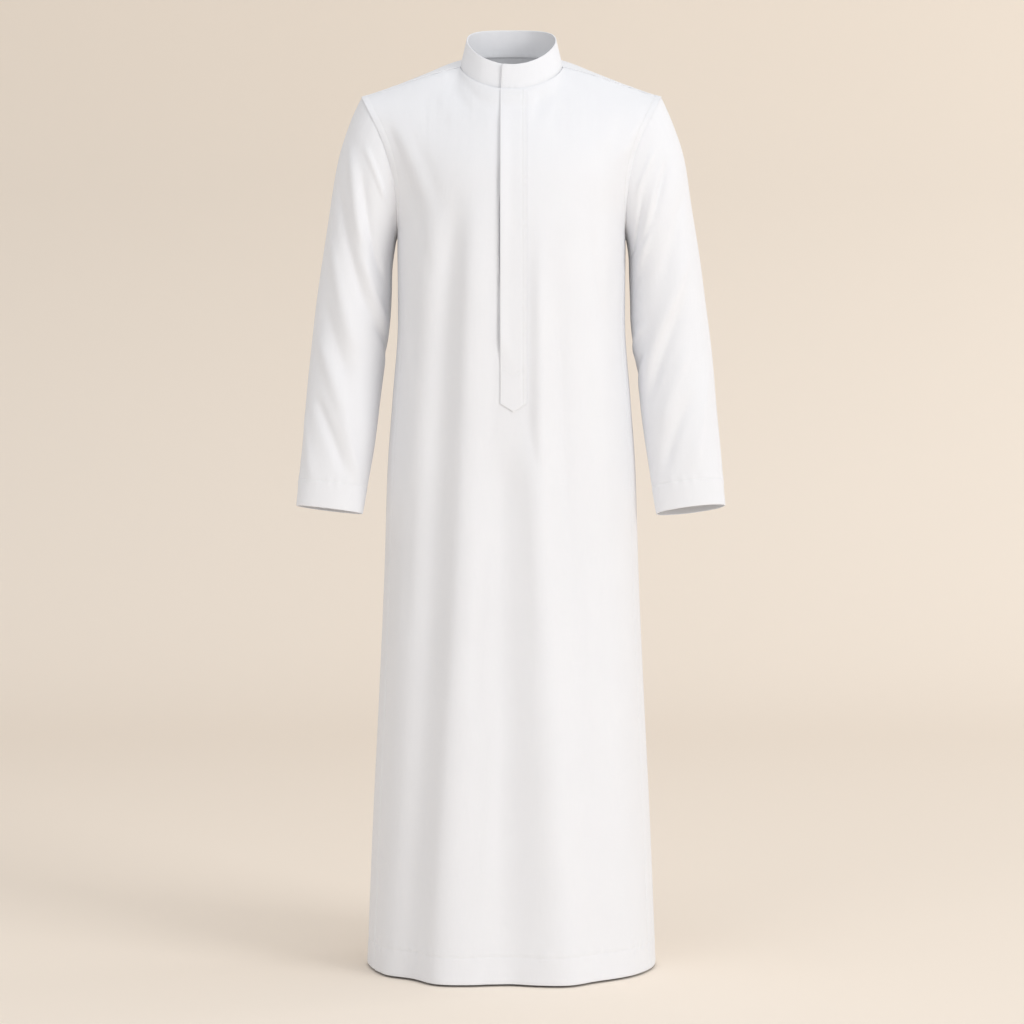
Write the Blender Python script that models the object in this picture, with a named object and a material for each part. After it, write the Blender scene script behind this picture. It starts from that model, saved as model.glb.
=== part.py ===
"""A thobe: an ankle-length white robe with set-in sleeves, band collar and placket.

It stands as if worn, hollow, with neck, cuffs and hem open. Metres, +Z up, the front
faces -Y and the wearer's left is +X. The origin is at the middle of the neck, level
with the ends of the shoulder seams, where the wearer's shoulders hold the robe up.
Every piece is a wall of cloth: a flat slab whose points are moved onto the piece's
own curved surface and along the surface's outward normal.
"""

from math import acos, atan2, cos, exp, pi, radians, sin

import bmesh
import bpy
from mathutils import Vector

# --- Cloth ---------------------------------------------------------------------------
CLOTH = 0.0016  # wall of the body and sleeves
DOUBLE = 0.0022  # cuffs: two layers and what is turned in
STAND = 0.0024  # collar: two layers and interlining
GAP = 0.0003  # clearance between neighbouring pieces
STEP = 1e-3  # distance in u and v over which normals are measured

# --- Neck ----------------------------------------------------------------------------
NECK_HALF = 0.081  # half width of the neckline
NECK_DEEP = 0.072  # half its depth, front to back
NECK_Y = -0.006  # its middle
NECK_RISE = 0.002  # its height level with the origin
NECK_TILT = 0.459  # its rise towards the back
NECK_DIP = -2.25  # how it bends down at the front, per metre
NECK_SEAM = radians(84)  # where the shoulder seam meets it, from the centre front
COLLAR_HIGH = 0.0405
COLLAR_SINK = 0.0015  # how far its lower edge is tucked into the neckline
COLLAR_LEAN = 0.0100  # how far the top edge leans in
COLLAR_OVER = radians(-12.5)  # upper end of the band, from the centre front
COLLAR_UNDER = radians(373)  # lower end, once round and under the upper one
COLLAR_STEP = radians(30)  # stretch over which the lower end steps in

# --- Armhole -------------------------------------------------------------------------
ARM_MID_Z = -0.158
ARM_HALF_HIGH = 0.107
ARM_FRONT = 0.064  # reach of the armhole to the front
ARM_BACK = 0.070  # and to the back
ARM_CORNER = radians(12)  # yoke's front corner, from the top of the armhole
ARM_YOKE = radians(62)  # yoke's back corner
ARM_STEP = 0.0010  # how far out the sleeve starts from the body's edge

# --- Body ----------------------------------------------------------------------------
NECK_ROW = -0.0475  # height of the front row at the neck
YOKE_ROW = -0.105  # height of the back row at the yoke seam
PIT_ROW = -0.272  # height at the centre of the row that starts at the armpit
HEM_ROW = -1.4245
PIT_SETTLE = 0.080  # below the armpit, rows are level again after this much
SHOULDER_FADE = 0.150  # depth over which the shoulder line's shape fades
NECK_SHARE = 0.40  # share of the front's half width, in rows of points, at the neckline
SEAM_BOW = 0.0015  # upward bow of the yoke's front seam
SEAM_FORWARD = 0.005  # and its bow towards the front
SHOULDER_BOW = 0.0105  # upward bow of the shoulder itself, just behind that seam
SHOULDER_FALL = 0.60  # share of the yoke from which it falls to the front seam
YOKE_BOW_BACK = 0.003  # the same at the centre back
YOKE_BOW_FADE = 0.6  # share of the yoke over which one becomes the other
YOKE_CORNER = 0.5  # share of its columns that end on the back seam, not on an armhole

# --- Placket -------------------------------------------------------------------------
PLACKET_X = 0.0032  # its middle, off centre towards the wearer's left
PLACKET_HALF = 0.0203
PLACKET_TOP = -0.0475
PLACKET_CORNER = -0.536  # where the point begins
PLACKET_POINT = -0.549
PLACKET_LIFT = 0.0009  # how far it stands off the panel
PLACKET_HOLD = 0.016  # distance over which the folds beside it rise
PLACKET_HOLD_BELOW = 0.080  # and below its point
UNDER_HALF = 0.0150
UNDER_TOP = -0.0525
UNDER_END = -0.515
SLIT_WIDE = 0.0012
SLIT_END = -0.505
SLIT_CUT_TOP = 0.05  # the cutter passes the neck and both faces of the cloth
SLIT_CUT_Y = (-0.23, -0.03)

# --- Sleeve --------------------------------------------------------------------------
CUFF_DEEP = 0.042
SLEEVE_LONG = 0.620  # down the middle of the sleeve, for its share of cuff
HEAD_FADE = 0.42  # share of the sleeve over which the armhole's shape fades
HEAD_LEAN = 0.5  # how far the sleeve's edge leans out where it clears the body
CUFF_PROUD = 0.0004  # how far the cuff stands out past the sleeve

# --- How finely each piece is divided: across, along ------------------------------------
BODY_ACROSS = 24
FRONT_UPPER = 8  # rows above the armpit
BACK_UPPER = 6
BODY_LOWER = 18  # rows below it, the same on both so that the side seams match
ROW_SPREAD = 1.3  # above 1, rows are closer together near the armpit
YOKE_GRID = (24, 5)
YOKE_ARM = round(YOKE_GRID[0] * (1 - YOKE_CORNER) / 2)  # columns of the yoke on one armhole
SLEEVE_ROUND = FRONT_UPPER + BACK_UPPER + YOKE_ARM  # so that the sleeve matches the armhole
SLEEVE_ALONG = 16
COLLAR_GRID = (44, 2)
PLACKET_GRID = (2, 20)

# Lengths of cloth, across half a panel and down it near its upper edge's spacing of rows,
# over which the seam gaps are shared out.
FRONT_SIZE = (0.30, 0.90)
BACK_SIZE = (0.33, 0.70)
YOKE_SIZE = (0.25, 0.15)

COLLECTION = "thobe_robe"
CUTTERS = "thobe_robe_cutters"
WHITE = (0.86, 0.86, 0.85, 1.0)
WHITE_INSIDE = (0.82, 0.82, 0.81, 1.0)
ROUGHNESS = 0.85


class Table:
    """Rows of named sizes, read smoothly between the rows by their first column."""

    def __init__(self, columns, rows):
        self.names = columns.split()
        self.rows = sorted(rows)

    def read(self, key):
        """The sizes at this key, by name."""
        keys = [row[0] for row in self.rows]
        key = min(max(key, keys[0]), keys[-1])
        low = max(i for i in range(len(keys) - 1) if keys[i] <= key)
        span = keys[low + 1] - keys[low]
        t = (key - keys[low]) / span
        found = {}
        for column, name in enumerate(self.names):
            first, last = self.rows[low][column], self.rows[low + 1][column]
            rise, fall = self.slope(low, column) * span, self.slope(low + 1, column) * span
            found[name] = (
                first * (1 + 2 * t) * (1 - t) ** 2
                + rise * t * (1 - t) ** 2
                + last * t * t * (3 - 2 * t)
                + fall * t * t * (t - 1)
            )
        return found

    def slope(self, row, column):
        """Slope at a row that never overshoots its neighbours."""
        rows = self.rows
        steps = []
        for i in (row - 1, row):
            if 0 <= i < len(rows) - 1:
                steps.append((rows[i + 1][column] - rows[i][column]) / (rows[i + 1][0] - rows[i][0]))
        if len(steps) == 1:
            return steps[0]
        if steps[0] * steps[1] <= 0:
            return 0.0
        return 2 * steps[0] * steps[1] / (steps[0] + steps[1])


# Level sections of the body. half: half width. front, back: depth each way from the side
# line. flat: below 1 flattens front and back. taper: above 1 draws the sides to a corner.
BODY = Table(
    "z half front back flat taper",
    [
        (-0.047, 0.237, 0.078, 0.080, 0.90, 0.90),
        (-0.105, 0.215, 0.108, 0.112, 0.90, 0.90),
        (-0.180, 0.190, 0.131, 0.123, 0.88, 0.88),
        (-0.272, 0.180, 0.142, 0.125, 0.86, 0.88),
        (-0.400, 0.179, 0.146, 0.118, 0.86, 0.94),
        (-0.529, 0.188, 0.148, 0.120, 0.86, 1.00),
        (-0.640, 0.196, 0.151, 0.128, 0.85, 1.04),
        (-0.800, 0.201, 0.157, 0.140, 0.84, 1.10),
        (-1.000, 0.210, 0.166, 0.149, 0.83, 1.16),
        (-1.200, 0.220, 0.175, 0.158, 0.81, 1.22),
        (-1.420, 0.229, 0.185, 0.167, 0.79, 1.28),
    ],
)

# The side seam's place, in front of the side line.
SEAM = Table(
    "z y",
    [
        (-0.272, 0.0),
        (-0.330, -0.036),
        (-0.420, -0.050),
        (-0.900, -0.052),
        (-1.420, -0.056),
    ],
)

# Half width across the armholes, by height.
ARMHOLE = Table(
    "z x",
    [
        (-0.051, 0.2370),
        (-0.072, 0.2260),
        (-0.100, 0.2120),
        (-0.151, 0.1930),
        (-0.190, 0.1830),
        (-0.235, 0.1795),
        (-0.265, 0.1800),
    ],
)

# Rings of the sleeve from armhole to cuff, by share of its length: its outermost and
# innermost points, its middle and half depth front to back, as the wearer's left arm.
SLEEVE = Table(
    "v out_x out_z in_x in_z y deep",
    [
        (0.00, 0.2370, -0.051, 0.1800, -0.265, 0.003, 0.067),
        (0.08, 0.2550, -0.091, 0.1850, -0.281, 0.003, 0.068),
        (0.18, 0.2720, -0.145, 0.1868, -0.300, 0.003, 0.067),
        (0.30, 0.2850, -0.225, 0.1880, -0.330, 0.003, 0.064),
        (0.45, 0.3010, -0.333, 0.1890, -0.392, 0.002, 0.060),
        (0.60, 0.3140, -0.438, 0.1970, -0.466, -0.004, 0.055),
        (0.80, 0.3255, -0.574, 0.2105, -0.588, -0.024, 0.044),
        (1.00, 0.3350, -0.695, 0.2285, -0.708, -0.046, 0.030),
    ],
)

# What differs between the sleeves. side: +1 for the wearer's left. tip: how far the cuff's
# ring tips up at the front. slim: the share of its width that it shows.
ARMS = {
    "left": {"side": 1, "tip": 0.21, "slim": 1.0, "shift": 0.0},
    "right": {"side": -1, "tip": 0.11, "slim": 0.96, "shift": 0.004},
}

# Long soft folds down the body, each a ridge (depth above 0) or trough. x and z at its
# upper and lower ends, and its width there. They fade in over reach at the upper end.
FRONT_FOLDS = [
    {"x": (-0.130, -0.192), "z": (-0.26, -1.42), "wide": (0.018, 0.026), "depth": 0.0050, "reach": 0.16},
    {"x": (-0.088, -0.156), "z": (-0.26, -1.42), "wide": (0.018, 0.026), "depth": -0.0050, "reach": 0.16},
    {"x": (-0.054, -0.110), "z": (-0.24, -1.42), "wide": (0.022, 0.036), "depth": 0.0090, "reach": 0.18},
    {"x": (-0.008, -0.010), "z": (-0.40, -1.42), "wide": (0.028, 0.044), "depth": -0.0070, "reach": 0.50},
    {"x": (0.037, 0.084), "z": (-0.24, -1.42), "wide": (0.020, 0.038), "depth": 0.0090, "reach": 0.18},
    {"x": (0.068, 0.135), "z": (-0.26, -1.42), "wide": (0.018, 0.030), "depth": -0.0030, "reach": 0.16},
    {"x": (0.120, 0.190), "z": (-0.28, -1.42), "wide": (0.020, 0.030), "depth": 0.0030, "reach": 0.20},
]
BACK_FOLDS = [
    {"x": (-0.120, -0.175), "z": (-0.22, -1.42), "wide": (0.020, 0.030), "depth": 0.0055, "reach": 0.20},
    {"x": (-0.074, -0.122), "z": (-0.25, -1.42), "wide": (0.019, 0.030), "depth": -0.0055, "reach": 0.22},
    {"x": (-0.030, -0.058), "z": (-0.20, -1.42), "wide": (0.022, 0.036), "depth": 0.0065, "reach": 0.26},
    {"x": (0.012, 0.002), "z": (-0.30, -1.42), "wide": (0.020, 0.032), "depth": -0.0050, "reach": 0.30},
    {"x": (0.048, 0.066), "z": (-0.22, -1.42), "wide": (0.022, 0.036), "depth": 0.0070, "reach": 0.24},
    {"x": (0.090, 0.128), "z": (-0.28, -1.42), "wide": (0.019, 0.028), "depth": -0.0050, "reach": 0.24},
    {"x": (0.126, 0.180), "z": (-0.24, -1.42), "wide": (0.020, 0.030), "depth": 0.0045, "reach": 0.20},
]

# Soft folds along a sleeve: its turn round the sleeve in degrees (0 outside, 90 front,
# 180 inside) and share of the length, at both ends, with its width in degrees.
SLEEVE_FOLDS = [
    {"turn": (58, 84), "v": (0.06, 0.46), "wide": 13, "depth": -0.0050},
    {"turn": (92, 122), "v": (0.10, 0.58), "wide": 14, "depth": 0.0045},
    {"turn": (40, 64), "v": (0.42, 0.92), "wide": 14, "depth": -0.0040},
    {"turn": (70, 112), "v": (0.50, 0.94), "wide": 15, "depth": 0.0040},
    {"turn": (232, 268), "v": (0.12, 0.60), "wide": 16, "depth": -0.0050},
    {"turn": (275, 300), "v": (0.45, 0.92), "wide": 15, "depth": 0.0040},
]
FOLD_START = 0.6  # share of a body fold's depth at its upper end
FOLD_SIDEWAYS = 0.5  # how far folds near the side lift outwards, against forwards
FOLD_CLEAR = 0.05  # distance from the side line over which the body's folds fade in
FOLD_FADE = 0.22  # share of a sleeve fold's length over which its ends fade


def power(value, exponent):
    """A signed power, which keeps a superellipse in its own quarter."""
    return abs(value) ** exponent * (1 if value >= 0 else -1)


def ease(t):
    """0 to 1 with soft ends."""
    t = min(max(t, 0.0), 1.0)
    return t * t * (3 - 2 * t)


def between(ends, t):
    """The value at share t of the way between two ends."""
    return ends[0] + (ends[1] - ends[0]) * t


def bow(t):
    """A hump from 0 at both ends to 1 a third of the way along."""
    return 27 / 4 * t * (1 - t) ** 2


# --- Seam lines ----------------------------------------------------------------------
def neckline(angle):
    """A point of the neckline, by its angle from the centre front towards +X."""
    y = NECK_Y - NECK_DEEP * cos(angle)
    z = NECK_RISE + NECK_TILT * y + NECK_DIP * y * y
    return Vector((NECK_HALF * sin(angle), y, z))


def armhole(angle):
    """A point of the wearer's left armhole, by its angle from the top to the front."""
    z = ARM_MID_Z + ARM_HALF_HIGH * cos(angle)
    reach = ARM_FRONT if sin(angle) > 0 else ARM_BACK
    return Vector((ARMHOLE.read(z)["x"], -reach * sin(angle), z))


def shoulder_line(across):
    """The front's upper edge, from -1 at the wearer's right armhole to 1 at the left."""
    side = -1 if across < 0 else 1
    share = abs(across)
    if share <= NECK_SHARE:
        point = neckline(NECK_SEAM * share / NECK_SHARE)
    else:
        t = (share - NECK_SHARE) / (1 - NECK_SHARE)
        point = neckline(NECK_SEAM).lerp(armhole(ARM_CORNER), t)
        point.z += SEAM_BOW * bow(t)
        point.y -= SEAM_FORWARD * bow(t)
    point.x *= side
    return point


# --- Surfaces ------------------------------------------------------------------------
def fold_height(folds, x, z):
    """How far the folds lift the cloth at this place."""
    height = 0.0
    for fold in folds:
        t = (fold["z"][0] - z) / (fold["z"][0] - fold["z"][1])
        fade = ease((fold["z"][0] - z) / fold["reach"])
        off = (x - between(fold["x"], t)) / between(fold["wide"], t)
        height += fold["depth"] * between((FOLD_START, 1.0), t) * fade * exp(-off * off)
    return height


def half_ring(across, row, edge, facing):
    """A point of the front (facing -1) or the back (facing 1) on one row.

    The row runs from edge to edge round the centre line, as part of a superellipse that
    passes through the edge. An edge past the side line belongs to the other half.
    """
    size = BODY.read(row)
    near, far = (size["front"], size["back"]) if facing < 0 else (size["back"], size["front"])
    past = edge.y * facing < 0
    reach = far if past else near
    turn = (abs(edge.y) / reach) ** (1 / size["taper"])
    limit = pi / 2 + (1 if past else -1) * (pi / 2 - acos(turn))
    half = edge.x / sin(limit) ** size["flat"]
    angle = across * limit
    depth = near if cos(angle) > 0 else far
    x = half * power(sin(angle), size["flat"])
    y = facing * depth * power(cos(angle), size["taper"])
    z = row + (edge.z - row) * across * across
    return Vector((x, y, z))


def side_seam(row):
    """The side seam's point at this row, on the wearer's left."""
    size = BODY.read(row)
    y = SEAM.read(row)["y"]
    turn = (abs(y) / size["front"]) ** (1 / size["taper"])
    x = size["half"] * sin(acos(turn)) ** size["flat"]
    lift = armhole(pi).z - PIT_ROW
    return Vector((x, y, row + lift * (1 - ease((PIT_ROW - row) / PIT_SETTLE))))


def edge_at(row, top, start):
    """A panel's side edge: the armhole from angle start down to the armpit, then the seam."""
    if row < PIT_ROW:
        return side_seam(row)
    t = (top - row) / (top - PIT_ROW)
    return armhole(between((start, pi if start > 0 else -pi), t))


def off_placket(x, z):
    """0 under the placket, which holds the cloth flat, to 1 clear of it."""
    beside = ease((abs(x - PLACKET_X) - PLACKET_HALF) / PLACKET_HOLD)
    below = ease((PLACKET_POINT - z) / PLACKET_HOLD_BELOW)
    return max(beside, below)


def folded(point):
    """A body point with its folds, which lift it away from the body's middle."""
    away = Vector((point.x * FOLD_SIDEWAYS, point.y, 0)).normalized()
    fade = ease(abs(point.y) / FOLD_CLEAR)
    if point.y > 0:
        return point + away * fold_height(BACK_FOLDS, point.x, point.z) * fade
    fade *= off_placket(point.x, point.z)
    return point + away * fold_height(FRONT_FOLDS, point.x, point.z) * fade


def row_height(down, top, upper):
    """The height of a row, by its share of the panel's rows, upper of them over the armpit."""
    parting = upper / (upper + BODY_LOWER)
    if down < parting:
        return between((top, PIT_ROW), down / parting)
    return between((PIT_ROW, HEM_ROW), ((down - parting) / (1 - parting)) ** ROW_SPREAD)


def front_surface(across, down):
    """The front, across from -1 to 1 and down from 0 at the shoulders to 1 at the hem."""
    row = row_height(down, NECK_ROW, FRONT_UPPER)
    point = half_ring(across, row, edge_at(row, NECK_ROW, ARM_CORNER), -1)
    fade = 1 - (NECK_ROW - row) / SHOULDER_FADE
    if fade > 0:
        level = half_ring(across, NECK_ROW, edge_at(NECK_ROW, NECK_ROW, ARM_CORNER), -1)
        point = point + (shoulder_line(across) - level) * fade * fade
    return folded(point)


def back_surface(across, down):
    """The back, across from -1 to 1 and down from 0 at the yoke to 1 at the hem."""
    row = row_height(down, YOKE_ROW, BACK_UPPER)
    point = half_ring(across, row, edge_at(row, YOKE_ROW, -ARM_YOKE), 1)
    return folded(point)


def yoke_surface(round_neck, out):
    """The yoke, round the neck from -1 to 1 and out from 0 at the neck to 1 at its edge."""
    side = -1 if round_neck < 0 else 1
    share = abs(round_neck)
    inner = neckline(pi - (pi - NECK_SEAM) * share)
    inner.x *= side
    if share < YOKE_CORNER:
        outer = half_ring(round_neck / YOKE_CORNER, YOKE_ROW, armhole(-ARM_YOKE), 1)
    else:
        outer = armhole(between((-ARM_YOKE, ARM_CORNER), (share - YOKE_CORNER) / (1 - YOKE_CORNER)))
        outer.x *= side
    fall = ease((share - SHOULDER_FALL) / (1 - SHOULDER_FALL))
    rise = between((YOKE_BOW_BACK, SHOULDER_BOW), ease(share / YOKE_BOW_FADE))
    rise = between((rise, SEAM_BOW), fall)
    bowed = Vector((0, -SEAM_FORWARD * fall, rise)) * bow(out)
    return inner.lerp(outer, out) + bowed


def sleeve_turn(share):
    """The sleeve's angle at a share of its columns, which end where the body's rows do."""
    column = share * SLEEVE_ROUND
    if column < FRONT_UPPER:
        return between((ARM_CORNER, pi), column / FRONT_UPPER)
    column -= FRONT_UPPER
    if column < BACK_UPPER:
        return between((pi, 2 * pi - ARM_YOKE), column / BACK_UPPER)
    return between((2 * pi - ARM_YOKE, 2 * pi + ARM_CORNER), (column - BACK_UPPER) / YOKE_ARM)


def sleeve_fold_height(turn, v):
    """How far the sleeve's folds lift it at this turn and share of its length."""
    height = 0.0
    for fold in SLEEVE_FOLDS:
        t = (v - fold["v"][0]) / (fold["v"][1] - fold["v"][0])
        fade = ease(t / FOLD_FADE) * ease((1 - t) / FOLD_FADE)
        off = (turn - between(fold["turn"], t)) / fold["wide"]
        height += fold["depth"] * fade * exp(-off * off)
    return height


def sleeve_ring(angle, v, arm):
    """A point of the sleeve's plain ring at this share of its length."""
    size = SLEEVE.read(v)
    out = Vector((size["out_x"], 0, size["out_z"]))
    inner = Vector((size["in_x"], 0, size["in_z"]))
    slim = between((1.0, arm["slim"]), v)
    point = (out + inner) / 2 + (out - inner) / 2 * cos(angle) * slim
    point.x += arm["shift"] * v
    point.y = size["y"] - size["deep"] * sin(angle)
    point.z += arm["tip"] * v * v * size["deep"] * sin(angle)
    return point


def sleeve_surface(angle, v, arm):
    """A sleeve's outer side, by angle from its outside to its front, and share of length."""
    angle = angle % (2 * pi)
    point = sleeve_ring(angle, v, arm)
    fade = 1 - v / HEAD_FADE
    if fade > 0:
        seam = armhole(angle if angle < pi else angle - 2 * pi)
        lift = Vector((abs(cos(angle)) * HEAD_LEAN, -sin(angle), max(0.0, cos(angle)))).normalized()
        seam = seam + lift * CLOTH + Vector((ARM_STEP, 0, 0))
        point = point + (seam - sleeve_ring(angle, 0.0, arm)) * fade * fade
    size = SLEEVE.read(v)
    middle = Vector(((size["out_x"] + size["in_x"]) / 2, size["y"], point.z))
    away = (point - middle).normalized()
    point = point + away * sleeve_fold_height(angle * 180 / pi, v)
    point.x *= arm["side"]
    return point


def collar_surface(angle, up):
    """The collar's outer side, by angle round the neck and share of its height."""
    base = neckline(angle)
    radial = Vector((sin(angle), -cos(angle), 0))
    step = ease((angle - (2 * pi + COLLAR_OVER - COLLAR_STEP)) / COLLAR_STEP)
    inset = GAP + (STAND + GAP * 2) * step
    rise = Vector((0, 0, COLLAR_HIGH * up - COLLAR_SINK * (1 - up)))
    return base - radial * (inset + COLLAR_LEAN * up) + rise


def front_net(lift):
    """The front's own points, row by row, moved out by lift."""
    net = []
    for row in range(FRONT_UPPER + BODY_LOWER + 1):
        down = row / (FRONT_UPPER + BODY_LOWER)
        net.append([])
        for column in range(BODY_ACROSS + 1):
            across = 2 * column / BODY_ACROSS - 1
            out = -normal_of(front_surface, across, down)
            net[-1].append(front_surface(across, down) + out * lift)
    return net


def on_net(net, x, height):
    """The point at this x and height on the flat faces between a net's points."""
    line = []
    for row in net:
        column = max(i for i in range(len(row) - 1) if row[i].x <= x)
        share = (x - row[column].x) / (row[column + 1].x - row[column].x)
        line.append(row[column].lerp(row[column + 1], share))
    upper = max(i for i in range(len(line) - 1) if i == 0 or line[i].z >= height)
    share = (line[upper].z - height) / (line[upper].z - line[upper + 1].z)
    return line[upper].lerp(line[upper + 1], share)


def normal_of(surface, u, v):
    """The unit normal of a surface, to the right of u's and v's cross product."""
    along_u = surface(u + STEP, v) - surface(u - STEP, v)
    along_v = surface(u, v + STEP) - surface(u, v - STEP)
    return along_u.cross(along_v).normalized()


# --- Walls ---------------------------------------------------------------------------
def wall(name, surface, u_range, v_range, grid, layers, outward=1):
    """A closed wall of cloth on a surface.

    A flat slab, or a tube where u_range is None, is divided into grid's columns and rows.
    Its own place across and along then chooses u and v, and its two sides are moved from
    the surface by layers, outwards above 0.
    """
    closed = u_range is None
    mesh_code = bmesh.new()
    if closed:
        bmesh.ops.create_cone(mesh_code, segments=grid[0], radius1=1, radius2=1, depth=1)
        uprights = [e for e in mesh_code.edges if abs(e.verts[0].co.z - e.verts[1].co.z) > 0.5]
        if grid[1] > 1:
            bmesh.ops.subdivide_edges(
                mesh_code, edges=uprights, cuts=grid[1] - 1, use_grid_fill=True
            )
    else:
        bmesh.ops.create_grid(mesh_code, x_segments=grid[0], y_segments=grid[1], size=0.5)
    skin = list(mesh_code.faces)
    made = bmesh.ops.extrude_face_region(mesh_code, geom=skin, use_keep_orig=True)
    upper = {v for v in made["geom"] if isinstance(v, bmesh.types.BMVert)}
    for vertex in mesh_code.verts:
        if closed:
            u = atan2(vertex.co.y, vertex.co.x) % (2 * pi)
            v = between(v_range, 0.5 - vertex.co.z)
        else:
            u = between(u_range, vertex.co.x + 0.5)
            v = between(v_range, 0.5 - vertex.co.y)
        lift = layers[1] if vertex in upper else layers[0]
        vertex.co = surface(u, v) + normal_of(surface, u, v) * lift * outward
    bmesh.ops.recalc_face_normals(mesh_code, faces=mesh_code.faces)
    if mesh_code.calc_volume(signed=True) < 0:
        bmesh.ops.reverse_faces(mesh_code, faces=mesh_code.faces)
    mesh = bpy.data.meshes.new(name)
    mesh_code.to_mesh(mesh)
    mesh_code.free()
    return bpy.data.objects.new(name, mesh)


def seam_inset(length):
    """Half a gap, as a share of an edge-to-edge length."""
    return GAP / 2 / length


def material(name, colour):
    """A plain cloth finish."""
    made = bpy.data.materials.new(name)
    made.use_nodes = True
    shader = made.node_tree.nodes["Principled BSDF"]
    shader.inputs["Base Color"].default_value = colour
    shader.inputs["Roughness"].default_value = ROUGHNESS
    shader.inputs["Metallic"].default_value = 0.0
    made.diffuse_color = colour
    return made


def add(thing, collection, colour=WHITE):
    """Puts a finished piece in its collection with a material of its own."""
    collection.objects.link(thing)
    thing.data.materials.append(material(thing.name + "_cloth", colour))
    thing.data.shade_smooth()
    return thing


# --- Pieces --------------------------------------------------------------------------
def front_panel():
    """The front, shoulder seams to hem."""
    s = 1 - seam_inset(FRONT_SIZE[0])
    v = seam_inset(FRONT_SIZE[1])
    grid = (BODY_ACROSS, FRONT_UPPER + BODY_LOWER)
    return wall("front_panel", front_surface, (-s, s), (v, 1.0), grid, (0, CLOTH), -1)


def back_panel():
    """The back, yoke seam to hem."""
    s = 1 - seam_inset(BACK_SIZE[0])
    v = seam_inset(BACK_SIZE[1])
    grid = (BODY_ACROSS, BACK_UPPER + BODY_LOWER)
    return wall("back_panel", back_surface, (-s, s), (v, 1.0), grid, (0, CLOTH), 1)


def yoke():
    """The yoke over both shoulders."""
    s = 1 - seam_inset(YOKE_SIZE[0])
    v = 1 - seam_inset(YOKE_SIZE[1])
    return wall("yoke", yoke_surface, (-s, s), (0.0, v), YOKE_GRID, (0, CLOTH), 1)


def sleeve(hand):
    """One sleeve, armhole to cuff seam."""
    arm = ARMS[hand]
    end = 1 - CUFF_DEEP / SLEEVE_LONG - seam_inset(SLEEVE_LONG)

    def surface(angle, v):
        return sleeve_surface(sleeve_turn(angle / (2 * pi)), v, arm)

    grid = (SLEEVE_ROUND, SLEEVE_ALONG)
    return wall("sleeve_" + hand, surface, None, (0.0, end), grid, (-CLOTH, 0), arm["side"])


def cuff(hand):
    """One cuff, a closed band."""
    arm = ARMS[hand]
    start = 1 - CUFF_DEEP / SLEEVE_LONG + seam_inset(SLEEVE_LONG)

    def surface(angle, v):
        return sleeve_surface(sleeve_turn(angle / (2 * pi)), v, arm)

    layers = (CUFF_PROUD - DOUBLE, CUFF_PROUD)
    return wall("cuff_" + hand, surface, None, (start, 1.0), (SLEEVE_ROUND, 1), layers, arm["side"])


def collar_band():
    """The band collar, one strip whose lower end runs under its upper one."""
    angles = (COLLAR_OVER, COLLAR_UNDER)
    return wall("collar_band", collar_surface, angles, (0.0, 1.0), COLLAR_GRID, (-STAND, 0), 1)


def placket():
    """The placket, a strip over the front with a pointed end."""
    net = front_net(CLOTH + PLACKET_LIFT)

    def surface(share, down):
        end = between((PLACKET_POINT, PLACKET_CORNER), min(1.0, abs(share)))
        return on_net(net, PLACKET_X + PLACKET_HALF * share, between((PLACKET_TOP, end), down))

    return wall("placket", surface, (-1.0, 1.0), (0.0, 1.0), PLACKET_GRID, (0, CLOTH), -1)


def placket_under():
    """The strip behind the slit that the placket buttons onto."""
    net = front_net(-PLACKET_LIFT)

    def surface(share, down):
        return on_net(net, PLACKET_X + UNDER_HALF * share, between((UNDER_TOP, UNDER_END), down))

    return wall("placket_under", surface, (-1.0, 1.0), (0.0, 1.0), PLACKET_GRID, (-CLOTH, 0), -1)


def cut_slit(panel, cutters):
    """Cuts the neck slit into the front, behind the placket."""
    mesh_code = bmesh.new()
    bmesh.ops.create_cube(mesh_code, size=1)
    size = Vector((SLIT_WIDE, SLIT_CUT_Y[1] - SLIT_CUT_Y[0], SLIT_CUT_TOP - SLIT_END))
    bmesh.ops.scale(mesh_code, vec=size, verts=mesh_code.verts)
    middle = Vector((PLACKET_X, between(SLIT_CUT_Y, 0.5), between((SLIT_END, SLIT_CUT_TOP), 0.5)))
    bmesh.ops.translate(mesh_code, vec=middle, verts=mesh_code.verts)
    mesh = bpy.data.meshes.new("slit_cutter")
    mesh_code.to_mesh(mesh)
    mesh_code.free()
    cutter = bpy.data.objects.new("slit_cutter", mesh)
    cutter.hide_render = True
    cutter.display_type = "WIRE"
    cutters.objects.link(cutter)
    cut = panel.modifiers.new("slit", "BOOLEAN")
    cut.operation = "DIFFERENCE"
    cut.object = cutter


def clear_scene():
    """Removes whatever the scene holds."""
    for thing in list(bpy.data.objects):
        bpy.data.objects.remove(thing, do_unlink=True)


def main():
    """Builds the robe."""
    clear_scene()
    robe = bpy.data.collections.new(COLLECTION)
    cutters = bpy.data.collections.new(CUTTERS)
    bpy.context.scene.collection.children.link(robe)
    bpy.context.scene.collection.children.link(cutters)
    front = add(front_panel(), robe)
    cut_slit(front, cutters)
    add(back_panel(), robe)
    add(yoke(), robe)
    for hand in ARMS:
        add(sleeve(hand), robe)
        add(cuff(hand), robe)
    add(collar_band(), robe)
    add(placket(), robe)
    add(placket_under(), robe, WHITE_INSIDE)


main()
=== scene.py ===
"""The looks of a white thobe, filled out as worn with no wearer, in a plain pale studio.

Each piece of cloth is a thin shell on its solid's own curved form. Folds, creases,
puckers, seam ridges and stitching are laid on one by one, in metres. +Z is up, the front
faces -Y, and left and right are the wearer's: left is +X.
"""

import logging
from collections.abc import Callable, Sequence
from dataclasses import dataclass, field
from enum import Enum
from math import pi, radians

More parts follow.
